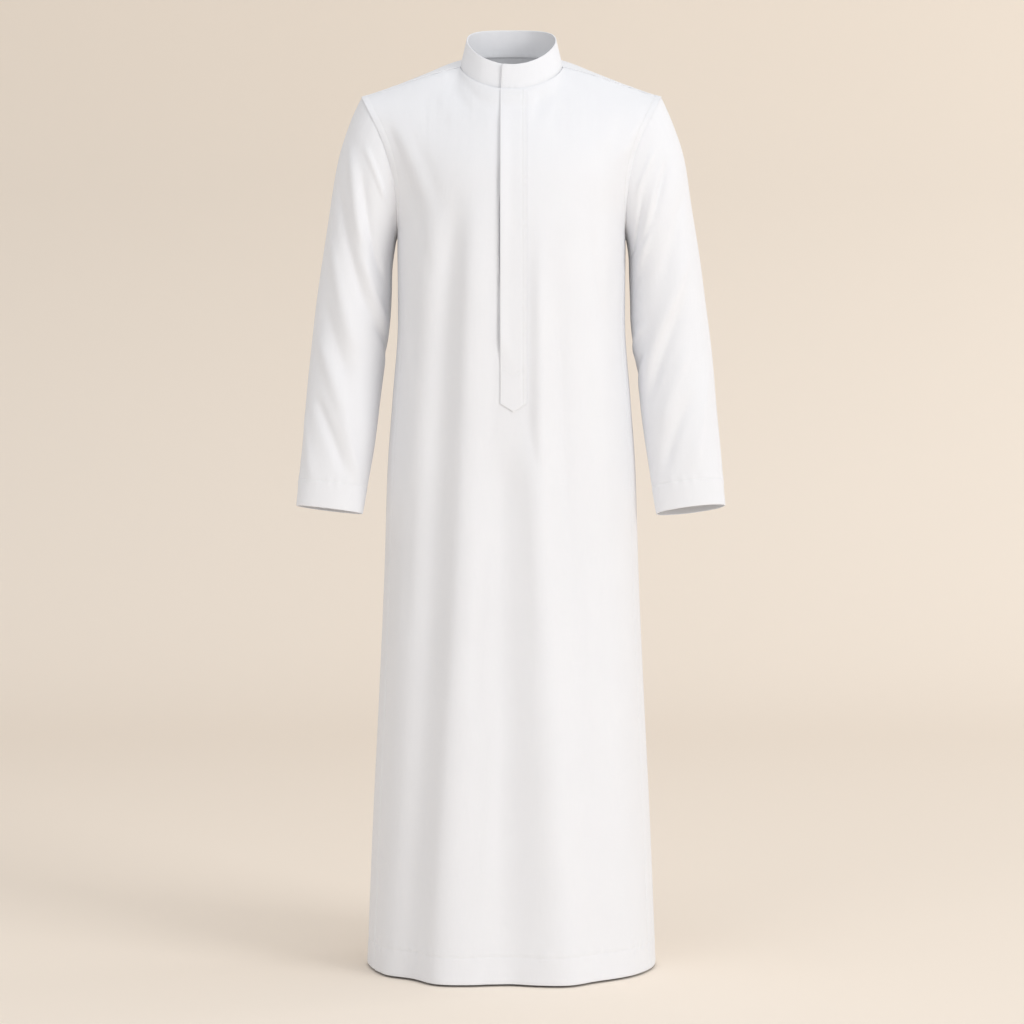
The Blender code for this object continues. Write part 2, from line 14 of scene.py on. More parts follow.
import bmesh
import bpy
import numpy as np
from mathutils import Matrix, Vector

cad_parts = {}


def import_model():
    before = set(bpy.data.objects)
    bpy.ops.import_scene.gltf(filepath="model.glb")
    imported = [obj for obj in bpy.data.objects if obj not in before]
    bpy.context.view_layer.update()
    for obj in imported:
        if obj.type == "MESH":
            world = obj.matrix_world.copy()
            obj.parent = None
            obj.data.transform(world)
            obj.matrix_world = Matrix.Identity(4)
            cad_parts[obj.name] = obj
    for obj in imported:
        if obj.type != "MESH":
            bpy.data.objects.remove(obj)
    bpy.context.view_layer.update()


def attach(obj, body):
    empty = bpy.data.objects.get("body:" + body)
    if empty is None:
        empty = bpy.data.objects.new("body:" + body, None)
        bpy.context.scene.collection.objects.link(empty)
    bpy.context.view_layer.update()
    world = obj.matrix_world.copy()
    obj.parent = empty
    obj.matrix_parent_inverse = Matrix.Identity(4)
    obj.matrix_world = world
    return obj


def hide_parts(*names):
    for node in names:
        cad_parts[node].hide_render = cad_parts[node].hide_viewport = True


LOG = logging.getLogger("thobe")
BODY = "root"
CLOTH_SLOT = "white_cloth"
INSIDE_SLOT = "white_cloth_inside"
Array = np.ndarray
Surface = Callable[[Array, Array], Array]
Thing = bpy.types.Object
Finish = bpy.types.Material
Code = bmesh.types.BMesh
Tree = bpy.types.ShaderNodeTree
Node = bpy.types.Node
Socket = bpy.types.NodeSocket
Colour = tuple[float, float, float]
Scale = tuple[float, float, float]


# --- Small helpers -----------------------------------------------------------------------
def mix(low: Array | float, high: Array | float, share: Array | float) -> Array | float:
    """The value at a share of the way from low to high."""
    return low + (high - low) * share


def ease(share: Array | float) -> Array:
    """0 to 1 with soft ends."""
    held = np.clip(share, 0.0, 1.0)
    return held * held * (3 - 2 * held)


def power(value: Array, exponent: Array | float) -> Array:
    """A signed power, which keeps a superellipse in its own quarter."""
    return np.abs(value) ** exponent * np.where(value >= 0, 1.0, -1.0)


def hump(share: Array) -> Array:
    """0 at both ends and 1 a third of the way along."""
    return 27 / 4 * share * (1 - share) ** 2


def bell(distance: Array | float, wide: Array | float) -> Array:
    """1 at no distance, falling softly over the width."""
    return np.exp(-((distance / wide) ** 2))


def uneven(along: Array, pitch: float, seed: float) -> Array:
    """Irregular small waves along a seam, between about -1 and 1.

    Args:
        along: distance along the seam.
        pitch: mean length of a wave.
        seed: any number, which makes one seam unlike another.

    Returns:
        The height of the waves at each distance.
    """
    turn = 2 * pi * along / pitch
    wander = 1.9 * np.sin(turn / 3.7 + seed) + 1.1 * np.sin(turn / 6.3 + 2.3 * seed)
    strength = 0.5 + 0.3 * np.sin(turn / 5.1 + 1.3 * seed) + 0.2 * np.sin(turn / 11.7 + seed)
    return np.sin(turn + wander) * strength


def drift(across: Array, down: Array, seed: float) -> Array:
    """Slow unevenness of hung cloth, between about -1 and 1, over 50 to 300 mm."""
    total = np.zeros(np.broadcast(across, down).shape)
    waves = (
        (21.0, 3.1, 0.9, 0.30),
        (34.0, -7.3, 2.2, 0.24),
        (-16.0, 12.7, 4.1, 0.20),
        (57.0, 9.4, 1.3, 0.14),
        (44.0, -26.0, 5.2, 0.12),
    )
    for by_x, by_z, phase, share in waves:
        total = total + share * np.sin(by_x * across + by_z * down + phase * seed)
    return total


def stack(x: Array | float, y: Array | float, z: Array | float) -> Array:
    """Points from their three coordinates."""
    return np.stack(np.broadcast_arrays(x, y, z), axis=-1).astype(float)


def unit(vectors: Array) -> Array:
    """The same directions, one metre long."""
    return vectors / np.maximum(np.linalg.norm(vectors, axis=-1, keepdims=True), 1e-12)


def normals_of(surface: Surface, u: Array, v: Array, step: float = 1e-3) -> Array:
    """Unit normals of a surface, to the right of u's and v's cross product."""
    along_u = surface(u + step, v) - surface(u - step, v)
    along_v = surface(u, v + step) - surface(u, v - step)
    return unit(np.cross(along_u, along_v))


# --- Sizes ---------------------------------------------------------------------------------
@dataclass(frozen=True)
class Profile:
    """Rows of named sizes, read smoothly between the rows by their first column."""

    names: str
    rows: tuple[tuple[float, ...], ...]

    def read(self, keys: Array) -> dict[str, Array]:
        """The sizes at these keys, by name, never overshooting the rows.

        Args:
            keys: values of the first column.

        Returns:
            One array of sizes for each name.
        """
        rows = np.array(sorted(self.rows))
        knots = rows[:, 0]
        steep = np.diff(rows, axis=0) / np.diff(knots)[:, None]
        product = steep[:-1] * steep[1:]
        total = steep[:-1] + steep[1:]
        inner = np.where(product > 0, 2 * product / np.where(total == 0, 1, total), 0.0)
        slopes = np.vstack([steep[:1], inner, steep[-1:]])
        held = np.clip(keys, knots[0], knots[-1])
        low = np.clip(np.searchsorted(knots, held, side="right") - 1, 0, len(knots) - 2)
        span = knots[low + 1] - knots[low]
        t = (held - knots[low]) / span
        found = {}
        for column, name in enumerate(self.names.split()):
            first, last = rows[low, column], rows[low + 1, column]
            rise, fall = slopes[low, column] * span, slopes[low + 1, column] * span
            found[name] = (
                first * (1 + 2 * t) * (1 - t) ** 2
                + rise * t * (1 - t) ** 2
                + last * t * t * (3 - 2 * t)
                + fall * t * t * (t - 1)
            )
        return found


@dataclass(frozen=True)
class Fold:
    """A long soft fold down the body, a ridge where its depth is above 0.

    x, z and wide are given at its upper and lower ends. It fades in over reach. lean
    makes one flank steeper, sway lets it wander sideways as it falls, and bow shifts its
    middle sideways.
    """

    x: tuple[float, float]
    z: tuple[float, float]
    wide: tuple[float, float]
    depth: float
    reach: float
    lean: float = 0.0
    sway: float = 0.0
    start: float = 0.6
    bow: float = 0.0

    def height(self, x: Array, z: Array) -> Array:
        """How far it lifts the cloth at these places."""
        t = (self.z[0] - z) / (self.z[0] - self.z[1])
        held = np.clip(t, 0.0, 1.0)
        middle = mix(self.x[0], self.x[1], t)
        middle = middle + self.sway * np.sin(2 * pi * (1.3 * held + 7 * self.x[0]))
        middle = middle + self.bow * 4 * held * (1 - held)
        off = (x - middle) / mix(self.wide[0], self.wide[1], held)
        off = off / (1 + self.lean * np.sign(off))
        fade = ease((self.z[0] - z) / self.reach)
        return self.depth * mix(self.start, 1.0, held) * fade * bell(off, 1.0)


@dataclass(frozen=True)
class Crease:
    """A short crease or ridge on a flat plan of the cloth, faded at both ends.

    bend bows it sideways at its middle. lean makes one flank steeper.
    """

    start: tuple[float, float]
    end: tuple[float, float]
    wide: float
    depth: float
    bend: float = 0.0
    lean: float = 0.0
    fade: float = 0.30

    def height(self, x: Array, y: Array, scale: tuple[float, float] = (1.0, 1.0)) -> Array:
        """How far it lifts the cloth.

        Args:
            x: places across the plan.
            y: places along the plan.
            scale: metres for one unit of start and end, across and along.

        Returns:
            The height at each place.
        """
        first = np.array(self.start) * scale
        span = np.array(self.end) * scale - first
        length = np.linalg.norm(span)
        along = ((x - first[0]) * span[0] + (y - first[1]) * span[1]) / length**2
        off = ((x - first[0]) * span[1] - (y - first[1]) * span[0]) / length
        held = np.clip(along, 0.0, 1.0)
        off = (off - self.bend * 4 * held * (1 - held)) / self.wide
        off = off / (1 + self.lean * np.sign(off))
        ends = ease(along / self.fade) * ease((1 - along) / self.fade)
        return self.depth * bell(off, 1.0) * ends


@dataclass(frozen=True)
class Groove:
    """A soft sunk line along a row of stitches, or a soft ridge where deep is below 0."""

    deep: float
    wide: float

    def lift(self, far: Array) -> Array:
        """The lift at a distance from the line."""
        return -self.deep * bell(far, self.wide)


@dataclass(frozen=True)
class Pucker:
    """Small gathers along a sewn line: their height, mean length, seed and spread."""

    high: float
    pitch: float
    seed: float
    wide: float

    def lift(self, along: Array, far: Array, seed: float = 0.0) -> Array:
        """The lift of places along the line and at a distance from it.

        Args:
            along: distance along the line.
            far: distance from the line.
            seed: added to its own, for a piece whose gathers fall differently.

        Returns:
            The lift at each place.
        """
        return self.high * uneven(along, self.pitch, self.seed + seed) * bell(far, self.wide)


@dataclass(frozen=True)
class Rolled:
    """How a turned edge sinks within the last millimetre or two: how deep, how soon."""

    deep: float
    soon: float

    def lift(self, far: Array) -> Array:
        """The lift at a distance from the edge."""
        return -self.deep * np.exp(-far / self.soon)


@dataclass(frozen=True)
class Arm:
    """What differs between the two sleeves.

    side is +1 for the wearer's left. tip is how far the cuff's ring tips up at the front,
    slim the share of its width that it shows, and shift moves the cuff sideways.
    """

    hand: str
    side: int
    tip: float
    slim: float
    shift: float


class Hand(Enum):
    """The two sleeves, by the wearer's hand."""

    LEFT = Arm("left", 1, 0.21, 1.0, 0.0)
    RIGHT = Arm("right", -1, 0.11, 0.96, 0.004)


@dataclass(frozen=True)
class RobeForm:
    """The robe's own curved surfaces, the same as its solids' inner sides on the body."""

    neck_half: float = 0.081
    neck_deep: float = 0.072
    neck_y: float = -0.006
    neck_rise: float = 0.002
    neck_tilt: float = 0.459
    neck_dip: float = -2.25
    neck_seam: float = radians(84)
    neck_share: float = 0.40
    arm_mid: float = -0.158
    arm_half: float = 0.107
    arm_front: float = 0.064
    arm_back: float = 0.070
    arm_corner: float = radians(12)
    arm_yoke: float = radians(62)
    neck_row: float = -0.0475
    yoke_row: float = -0.105
    pit_row: float = -0.272
    hem_row: float = -1.4245
    pit_settle: float = 0.080
    shoulder_fade: float = 0.150
    seam_bow: float = 0.0015
    seam_forward: float = 0.005
    shoulder_bow: float = 0.0105
    shoulder_fall: float = 0.60
    yoke_bow: float = 0.003
    yoke_bow_fade: float = 0.6
    yoke_corner: float = 0.5
    head_fade: float = 0.42
    sleeve_long: float = 0.620
    cuff_deep: float = 0.042
    placket_x: float = 0.0032
    placket_half: float = 0.0203
    placket_point: float = -0.549
    placket_hold: float = 0.022
    placket_below: float = 0.110
    open_top: float = -0.060
    open_end: float = -0.474
    taps: tuple[float, ...] = (-1.0, -0.6, -0.2, 0.2, 0.6, 1.0)
    soften: float = 0.20
    soften_below: float = 0.035
    yoke_soften_out: float = 0.3
    fold_sideways: float = 0.5
    fold_clear: float = 0.05
    front_drift: float = 0.0008
    back_drift: float = 0.0009
    collar_below: float = 0.0015
    sections: Profile = Profile(
        "z half front back flat taper",
        (
            (-0.047, 0.237, 0.078, 0.080, 0.90, 0.90),
            (-0.105, 0.215, 0.108, 0.112, 0.90, 0.90),
            (-0.180, 0.190, 0.131, 0.123, 0.88, 0.88),
            (-0.272, 0.180, 0.142, 0.125, 0.86, 0.88),
            (-0.400, 0.179, 0.146, 0.118, 0.86, 0.94),
            (-0.529, 0.188, 0.148, 0.120, 0.86, 1.00),
            (-0.640, 0.196, 0.151, 0.128, 0.85, 1.04),
            (-0.800, 0.201, 0.157, 0.140, 0.84, 1.10),
            (-1.000, 0.210, 0.166, 0.149, 0.83, 1.16),
            (-1.200, 0.220, 0.175, 0.158, 0.81, 1.22),
            (-1.420, 0.229, 0.185, 0.167, 0.79, 1.28),
        ),
    )
    seam: Profile = Profile(
        "z y",
        ((-0.272, 0.0), (-0.330, -0.036), (-0.420, -0.050), (-0.900, -0.052), (-1.420, -0.056)),
    )
    armholes: Profile = Profile(
        "z x",
        (
            (-0.051, 0.2370),
            (-0.072, 0.2260),
            (-0.100, 0.2120),
            (-0.151, 0.1930),
            (-0.190, 0.1830),
            (-0.235, 0.1795),
            (-0.265, 0.1800),
        ),
    )
    rings: Profile = Profile(
        "v out_x out_z in_x in_z y deep",
        (
            (0.00, 0.2370, -0.051, 0.1800, -0.265, 0.003, 0.067),
            (0.08, 0.2550, -0.091, 0.1850, -0.281, 0.003, 0.068),
            (0.18, 0.2720, -0.145, 0.1868, -0.300, 0.003, 0.067),
            (0.30, 0.2850, -0.225, 0.1880, -0.330, 0.003, 0.064),
            (0.45, 0.3010, -0.333, 0.1890, -0.392, 0.002, 0.060),
            (0.60, 0.3140, -0.438, 0.1970, -0.466, -0.004, 0.055),
            (0.80, 0.3255, -0.574, 0.2105, -0.588, -0.024, 0.044),
            (1.00, 0.3350, -0.695, 0.2285, -0.708, -0.046, 0.030),
        ),
    )
    front_folds: tuple[Fold, ...] = (
        Fold((-0.124, -0.192), (-0.17, -1.42), (0.017, 0.026), 0.0068, 0.15, 0.15, 0.003, 0.75),
        Fold((-0.085, -0.156), (-0.18, -1.42), (0.017, 0.026), -0.0080, 0.15, 0.1, 0.003, 0.75),
        Fold((-0.051, -0.110), (-0.18, -1.42), (0.021, 0.036), 0.0104, 0.18, 0.18, 0.003, 0.65),
        Fold((-0.012, -0.010), (-0.50, -1.42), (0.026, 0.044), -0.0108, 0.20, 0.0, 0.002, 0.42),
        Fold(
            (0.037, 0.084), (-0.22, -1.42), (0.019, 0.038), 0.0108, 0.18, -0.12, 0.002, 0.65,
            bow=-0.0145,
        ),
        Fold((0.068, 0.135), (-0.26, -1.42), (0.018, 0.030), -0.0030, 0.16, 0.0, 0.003),
        Fold((0.120, 0.190), (-0.28, -1.42), (0.020, 0.030), 0.0030, 0.20, 0.1, 0.003),
    )
    back_folds: tuple[Fold, ...] = (
        Fold((-0.120, -0.175), (-0.22, -1.42), (0.020, 0.030), 0.0055, 0.20, 0.15, 0.004),
        Fold((-0.074, -0.122), (-0.25, -1.42), (0.019, 0.030), -0.0055, 0.22, -0.1, 0.003),
        Fold((-0.030, -0.058), (-0.20, -1.42), (0.022, 0.036), 0.0065, 0.26, 0.15, 0.004),
        Fold((0.012, 0.002), (-0.30, -1.42), (0.020, 0.032), -0.0050, 0.30, 0.0, 0.003),
        Fold((0.048, 0.066), (-0.22, -1.42), (0.022, 0.036), 0.0070, 0.24, -0.15, 0.004),
        Fold((0.090, 0.128), (-0.28, -1.42), (0.019, 0.028), -0.0050, 0.24, 0.1, 0.003),
        Fold((0.126, 0.180), (-0.24, -1.42), (0.020, 0.030), 0.0045, 0.20, 0.15, 0.003),
    )
    front_creases: tuple[Crease, ...] = (
        Crease((0.070, -0.33), (0.094, -0.80), 0.010, -0.0022, 0.004),
        Crease((0.122, -0.25), (0.146, -0.44), 0.008, -0.0016, 0.003),
        Crease((0.138, -0.27), (0.156, -0.41), 0.007, 0.0012, 0.002),
        Crease((0.162, -0.165), (0.204, -0.070), 0.010, 0.0022, 0.003, 0.2),
        Crease((0.178, -0.175), (0.212, -0.088), 0.007, -0.0020, 0.002),
        Crease((0.130, -0.180), (0.178, -0.080), 0.010, -0.0012, 0.004),
        Crease((-0.205, -0.085), (-0.150, -0.240), 0.012, -0.0030, -0.006, 0.2),
        Crease((-0.184, -0.090), (-0.126, -0.250), 0.012, 0.0020, -0.005),
        Crease((-0.168, -0.170), (-0.122, -0.360), 0.010, -0.0016, -0.004),
        Crease((-0.160, -0.110), (-0.100, -0.260), 0.011, -0.0012, -0.004),
        Crease((-0.100, -0.020), (-0.062, -0.085), 0.007, -0.0014, 0.003),
        Crease((-0.086, -0.022), (-0.048, -0.080), 0.006, 0.0012, 0.003),
        Crease((-0.118, -0.030), (-0.078, -0.110), 0.009, 0.0010, 0.004),
        Crease((0.048, -0.040), (0.024, -0.112), 0.008, -0.0020, -0.003),
        Crease((0.068, -0.045), (0.040, -0.130), 0.009, 0.0012, -0.004),
        Crease((-0.166, -0.33), (-0.150, -0.56), 0.009, 0.0014, 0.003),
        Crease((-0.150, -0.62), (-0.160, -0.92), 0.010, -0.0014, 0.004),
        Crease((0.020, -0.60), (0.030, -0.98), 0.012, -0.0012, 0.003),
        Crease((0.108, -0.72), (0.122, -1.10), 0.012, 0.0012, -0.004),
        Crease((-0.040, -0.72), (-0.056, -1.06), 0.011, -0.0014, 0.003),
        Crease((-0.020, -0.95), (-0.040, -1.36), 0.013, 0.0014, 0.004),
    )
    back_creases: tuple[Crease, ...] = (
        Crease((0.165, -0.16), (0.110, -0.33), 0.012, -0.0026, 0.006, 0.2),
        Crease((0.182, -0.15), (0.136, -0.34), 0.011, 0.0020, 0.005),
        Crease((-0.170, -0.16), (-0.118, -0.31), 0.012, -0.0024, -0.006, 0.2),
        Crease((-0.184, -0.17), (-0.142, -0.36), 0.010, 0.0018, -0.004),
        Crease((-0.060, -0.12), (-0.052, -0.34), 0.010, 0.0012, 0.004),
        Crease((0.030, -0.12), (0.026, -0.30), 0.010, -0.0012, 0.003),
        Crease((0.020, -0.48), (0.034, -0.86), 0.012, -0.0014, 0.004),
        Crease((-0.086, -0.52), (-0.092, -0.80), 0.010, 0.0012, -0.004),
        Crease((0.112, -0.60), (0.122, -0.96), 0.011, -0.0012, 0.004),
        Crease((-0.026, -0.90), (-0.032, -1.32), 0.012, -0.0014, 0.003),
    )

    def neckline(self, angle: Array) -> Array:
        """Points of the neckline, by angle from the centre front towards +X."""
        y = self.neck_y - self.neck_deep * np.cos(angle)
        z = self.neck_rise + self.neck_tilt * y + self.neck_dip * y * y
        return stack(self.neck_half * np.sin(angle), y, z)

    def armhole(self, angle: Array) -> Array:
        """Points of the left armhole, by angle from the top to the front."""
        z = self.arm_mid + self.arm_half * np.cos(angle)
        reach = np.where(np.sin(angle) > 0, self.arm_front, self.arm_back)
        return stack(self.armholes.read(z)["x"], -reach * np.sin(angle), z)

    def shoulder_line(self, across: Array) -> Array:
        """The front's upper edge, from -1 at the right armhole to 1 at the left."""
        share = np.abs(across)
        near = self.neckline(self.neck_seam * np.minimum(share / self.neck_share, 1.0))
        t = np.maximum((share - self.neck_share) / (1 - self.neck_share), 0.0)[..., None]
        corner = self.armhole(np.full(share.shape, self.arm_corner))
        far = mix(self.neckline(np.full(share.shape, self.neck_seam)), corner, t)
        far[..., 2] += self.seam_bow * hump(t[..., 0])
        far[..., 1] -= self.seam_forward * hump(t[..., 0])
        line = np.where(share[..., None] <= self.neck_share, near, far)
        line[..., 0] *= np.where(across < 0, -1.0, 1.0)
        return line

    def soft_line(self, across: Array, below: Array) -> Array:
        """The front's upper edge with its corners eased, the more the further below it."""
        wide = np.minimum(self.soften * ease(below / self.soften_below), 1 - np.abs(across))
        return sum(self.shoulder_line(across + tap * wide) for tap in self.taps) / len(self.taps)

    def half_ring(self, across: Array, row: Array, edge: Array, facing: int) -> Array:
        """Points of the front (facing -1) or the back (facing 1) on their rows.

        Args:
            across: -1 at one side edge to 1 at the other.
            row: each row's height at the centre line.
            edge: the side edge's point on each row, on the left.
            facing: which half.

        Returns:
            The points.
        """
        size = self.sections.read(row)
        near, far = size["front"], size["back"]
        if facing > 0:
            near, far = far, near
        past = edge[..., 1] * facing < 0
        turn = (np.abs(edge[..., 1]) / np.where(past, far, near)) ** (1 / size["taper"])
        limit = pi / 2 + np.where(past, 1, -1) * np.arcsin(np.clip(turn, 0, 1))
        half = edge[..., 0] / np.sin(limit) ** size["flat"]
        angle = across * limit
        depth = np.where(np.cos(angle) > 0, near, far)
        x = half * power(np.sin(angle), size["flat"])
        y = facing * depth * power(np.cos(angle), size["taper"])
        return stack(x, y, row + (edge[..., 2] - row) * across * across)

    def side_seam(self, row: Array) -> Array:
        """The side seam's points, on the left."""
        size = self.sections.read(row)
        y = self.seam.read(row)["y"]
        turn = (np.abs(y) / size["front"]) ** (1 / size["taper"])
        x = size["half"] * np.sin(np.arccos(np.clip(turn, 0, 1))) ** size["flat"]
        lift = self.arm_mid - self.arm_half - self.pit_row
        settled = ease((self.pit_row - row) / self.pit_settle)
        return stack(x, y, row + lift * (1 - settled))

    def edge_at(self, row: Array, top: float, start: float) -> Array:
        """A panel's side edge: the armhole from angle start to the armpit, then the seam."""
        t = (top - row) / (top - self.pit_row)
        arm = self.armhole(mix(start, pi if start > 0 else -pi, np.minimum(t, 1.0)))
        return np.where((row < self.pit_row)[..., None], self.side_seam(row), arm)

    def off_placket(self, x: Array, z: Array) -> Array:
        """0 under the placket, which holds the cloth flat, to 1 clear of it."""
        beside = ease((np.abs(x - self.placket_x) - self.placket_half) / self.placket_hold)
        below = ease((self.placket_point - z) / self.placket_below)
        return np.maximum(beside, below)

    def folded(self, point: Array) -> Array:
        """Body points with their folds, creases and slow unevenness."""
        x, y, z = point[..., 0], point[..., 1], point[..., 2]
        away = unit(stack(x * self.fold_sideways, y, 0.0))
        front = sum(fold.height(x, z) for fold in self.front_folds)
        front = front + sum(crease.height(x, z) for crease in self.front_creases)
        front = front + self.front_drift * drift(x, z, 1.0)
        front = front * self.off_placket(x, z)
        back = sum(fold.height(x, z) for fold in self.back_folds)
        back = back + sum(crease.height(x, z) for crease in self.back_creases)
        back = back + self.back_drift * drift(x, z, 2.0)
        height = np.where(y > 0, back, front) * ease(np.abs(y) / self.fold_clear)
        return point + away * height[..., None]

    def open_share(self, z: Array, above: float, below: float) -> Array:
        """1 where the placket's free edge stands open, faded by lengths at its two ends."""
        return ease((self.open_top - z) / above) * ease((z - self.open_end) / below)

    def front(self, across: Array, row: Array) -> Array:
        """The front panel, across from -1 to 1, by the height of its rows."""
        start = self.arm_corner
        point = self.half_ring(across, row, self.edge_at(row, self.neck_row, start), -1)
        top = np.full(row.shape, self.neck_row)
        level = self.half_ring(across, top, self.edge_at(top, self.neck_row, start), -1)
        below = self.neck_row - row
        fade = np.maximum(1 - below / self.shoulder_fade, 0.0)[..., None]
        return self.folded(point + (self.soft_line(across, below) - level) * fade * fade)

    def back(self, across: Array, row: Array) -> Array:
        """The back panel, across from -1 to 1, by the height of its rows."""
        edge = self.edge_at(row, self.yoke_row, -self.arm_yoke)
        return self.folded(self.half_ring(across, row, edge, 1))

    def yoke_edge(self, share: Array) -> Array:
        """The yoke's outer edge, from 0 at the centre back to 1 at the front corner."""
        row = np.full(share.shape, self.yoke_row)
        corner = self.armhole(np.full(share.shape, -self.arm_yoke))
        behind = self.half_ring(share / self.yoke_corner, row, corner, 1)
        turn = (share - self.yoke_corner) / (1 - self.yoke_corner)
        beside = self.armhole(mix(-self.arm_yoke, self.arm_corner, turn))
        return np.where((share < self.yoke_corner)[..., None], behind, beside)

    def yoke(self, round_neck: Array, out: Array) -> Array:
        """The yoke, round the neck from -1 to 1 and out from 0 at the neck to 1."""
        side = np.where(round_neck < 0, -1.0, 1.0)
        share = np.abs(round_neck)
        inner = self.neckline(pi - (pi - self.neck_seam) * share)
        soften = self.soften * ease((1 - out) / self.yoke_soften_out)
        wide = np.minimum(soften, np.maximum(1 - share, 0.0))
        outer = sum(self.yoke_edge(share + tap * wide) for tap in self.taps) / len(self.taps)
        bow = mix(self.yoke_bow, self.shoulder_bow, ease(share / self.yoke_bow_fade))
        fall = ease((share - self.shoulder_fall) / (1 - self.shoulder_fall))
        point = mix(inner, outer, out[..., None])
        point[..., 2] += mix(bow, self.seam_bow, fall) * hump(out)
        point[..., 1] -= self.seam_forward * fall * hump(out)
        point[..., 0] *= side
        return point

    def sleeve_ring(self, angle: Array, v: Array, arm: Arm) -> Array:
        """Points of the sleeve's plain rings, by angle from outside to front."""
        size = self.rings.read(v)
        slim = mix(1.0, arm.slim, v) * np.cos(angle) / 2
        x = (size["out_x"] + size["in_x"]) / 2 + (size["out_x"] - size["in_x"]) * slim
        z = (size["out_z"] + size["in_z"]) / 2 + (size["out_z"] - size["in_z"]) * slim
        y = size["y"] - size["deep"] * np.sin(angle)
        return stack(x + arm.shift * v, y, z + arm.tip * v * v * size["deep"] * np.sin(angle))

    def sleeve_form(self, angle: Array, v: Array, arm: Arm, tuck: float) -> Array:
        """The sleeve with its head fitted to the armhole, as the left arm.

        Args:
            angle: from the sleeve's outside to its front.
            v: share of its length.
            arm: which sleeve.
            tuck: how far its edge runs in under the body's.

        Returns:
            The points.
        """
        ring = self.sleeve_ring(angle, v, arm)
        seam = self.armhole(np.mod(angle + pi, 2 * pi) - pi)
        seam[..., 0] -= tuck
        fade = np.maximum(1 - v / self.head_fade, 0.0)[..., None]
        return ring + (seam - self.sleeve_ring(angle, np.zeros(v.shape), arm)) * fade * fade

    def collar(self, angle: Array, up: Array, inset: Array, lean: float, high: Array) -> Array:
        """The collar's outer side, by angle round the neck and share of its height."""
        radial = stack(np.sin(angle), -np.cos(angle), 0.0)
        rise = stack(0.0, 0.0, high * up - self.collar_below * (1 - up))
        return self.neckline(angle) - radial * (inset + lean * up)[..., None] + rise


# --- Meshes --------------------------------------------------------------------------------
@dataclass(frozen=True)
class Reach:
    """How far each point of a sheet lies, along the cloth, from its four edges."""

    left: Array
    right: Array
    top: Array
    bottom: Array

    @classmethod
    def of(cls, places: Array) -> "Reach":
        """Measures a net of points, rows by columns."""
        across = np.linalg.norm(np.diff(places, axis=1), axis=-1)
        along = np.linalg.norm(np.diff(places, axis=0), axis=-1)
        left = np.pad(np.cumsum(across, axis=1), ((0, 0), (1, 0)))
        top = np.pad(np.cumsum(along, axis=0), ((1, 0), (0, 0)))
        return cls(left, left[:, -1:] - left, top, top[-1:, :] - top)

    @property
    def side(self) -> Array:
        """How far each point lies from the nearer of its two side edges."""
        return np.minimum(self.left, self.right)


Lift = Callable[[Array, Array, Reach], Array]


@dataclass
class Sheet:
    """A sheet of cloth: a flat grid whose points are moved onto a surface.

    us and vs are the surface's own coordinates of the columns and rows. outward is 1
    where the surface's normals point out of the robe, or -1.
    """

    name: str
    surface: Surface
    us: Array
    vs: Array
    outward: int
    closed: bool = False

    def net(self) -> tuple[Array, Array]:
        """Each point's u and v, rows by columns."""
        return np.meshgrid(self.us, self.vs)

    def laid(self, lift: Lift) -> tuple[Array, Array, Reach]:
        """The sheet's outer points, their outward normals and their reach."""
        u, v = self.net()
        base = self.surface(u, v)
        out = normals_of(self.surface, u, v) * self.outward
        reach = Reach.of(base)
        return base + out * lift(u, v, reach)[..., None], out, reach

    def build(self, lift: Lift) -> Thing:
        """Makes the sheet as an object with a UV map in metres of cloth.

        Args:
            lift: how far each point moves out from the surface.

        Returns:
            The object, smooth, one layer thick and facing outwards.
        """
        places, out, reach = self.laid(lift)
        code = bmesh.new()
        layer = code.loops.layers.uv.new("UVMap")
        columns, rows = len(self.us) - 1, len(self.vs) - 1
        bmesh.ops.create_grid(
            code, x_segments=columns, y_segments=rows, size=0.5, calc_uvs=True
        )
        spots = {
            vertex: (round((0.5 - vertex.co.y) * rows), round((vertex.co.x + 0.5) * columns))
            for vertex in code.verts
        }
        wide = reach.left[rows // 2]
        long = reach.top[:, columns // 2]
        for face in code.faces:
            face.smooth = True
            for corner in face.loops:
                row, column = spots[corner.vert]
                corner[layer].uv = (wide[column], -long[row])
        for vertex, (row, column) in spots.items():
            vertex.co = places[row, column]
        if self.closed:
            bmesh.ops.remove_doubles(code, verts=code.verts, dist=1e-6)
            bmesh.ops.recalc_face_normals(code, faces=code.faces)
        self.face_out(code, places, out)
        return mesh_object(self.name, code)

    @staticmethod
    def face_out(code: Code, places: Array, out: Array) -> None:
        """Turns all the faces round if the middle one faces into the robe."""
        code.faces.ensure_lookup_table()
        middle = code.faces[len(code.faces) // 2]
        middle.normal_update()
        centre = middle.calc_center_median()
        gap = np.linalg.norm(places - np.array(centre), axis=-1)
        row, column = np.unravel_index(np.argmin(gap), gap.shape)
        if middle.normal.dot(Vector(out[row, column])) < 0:
            bmesh.ops.reverse_faces(code, faces=code.faces)


def mesh_object(name: str, code: Code) -> Thing:
    """Turns mesh code into an object in the scene."""
    mesh = bpy.data.meshes.new(name)
    code.to_mesh(mesh)
    code.free()
    made = bpy.data.objects.new(name, mesh)
    bpy.context.scene.collection.objects.link(made)
    return made


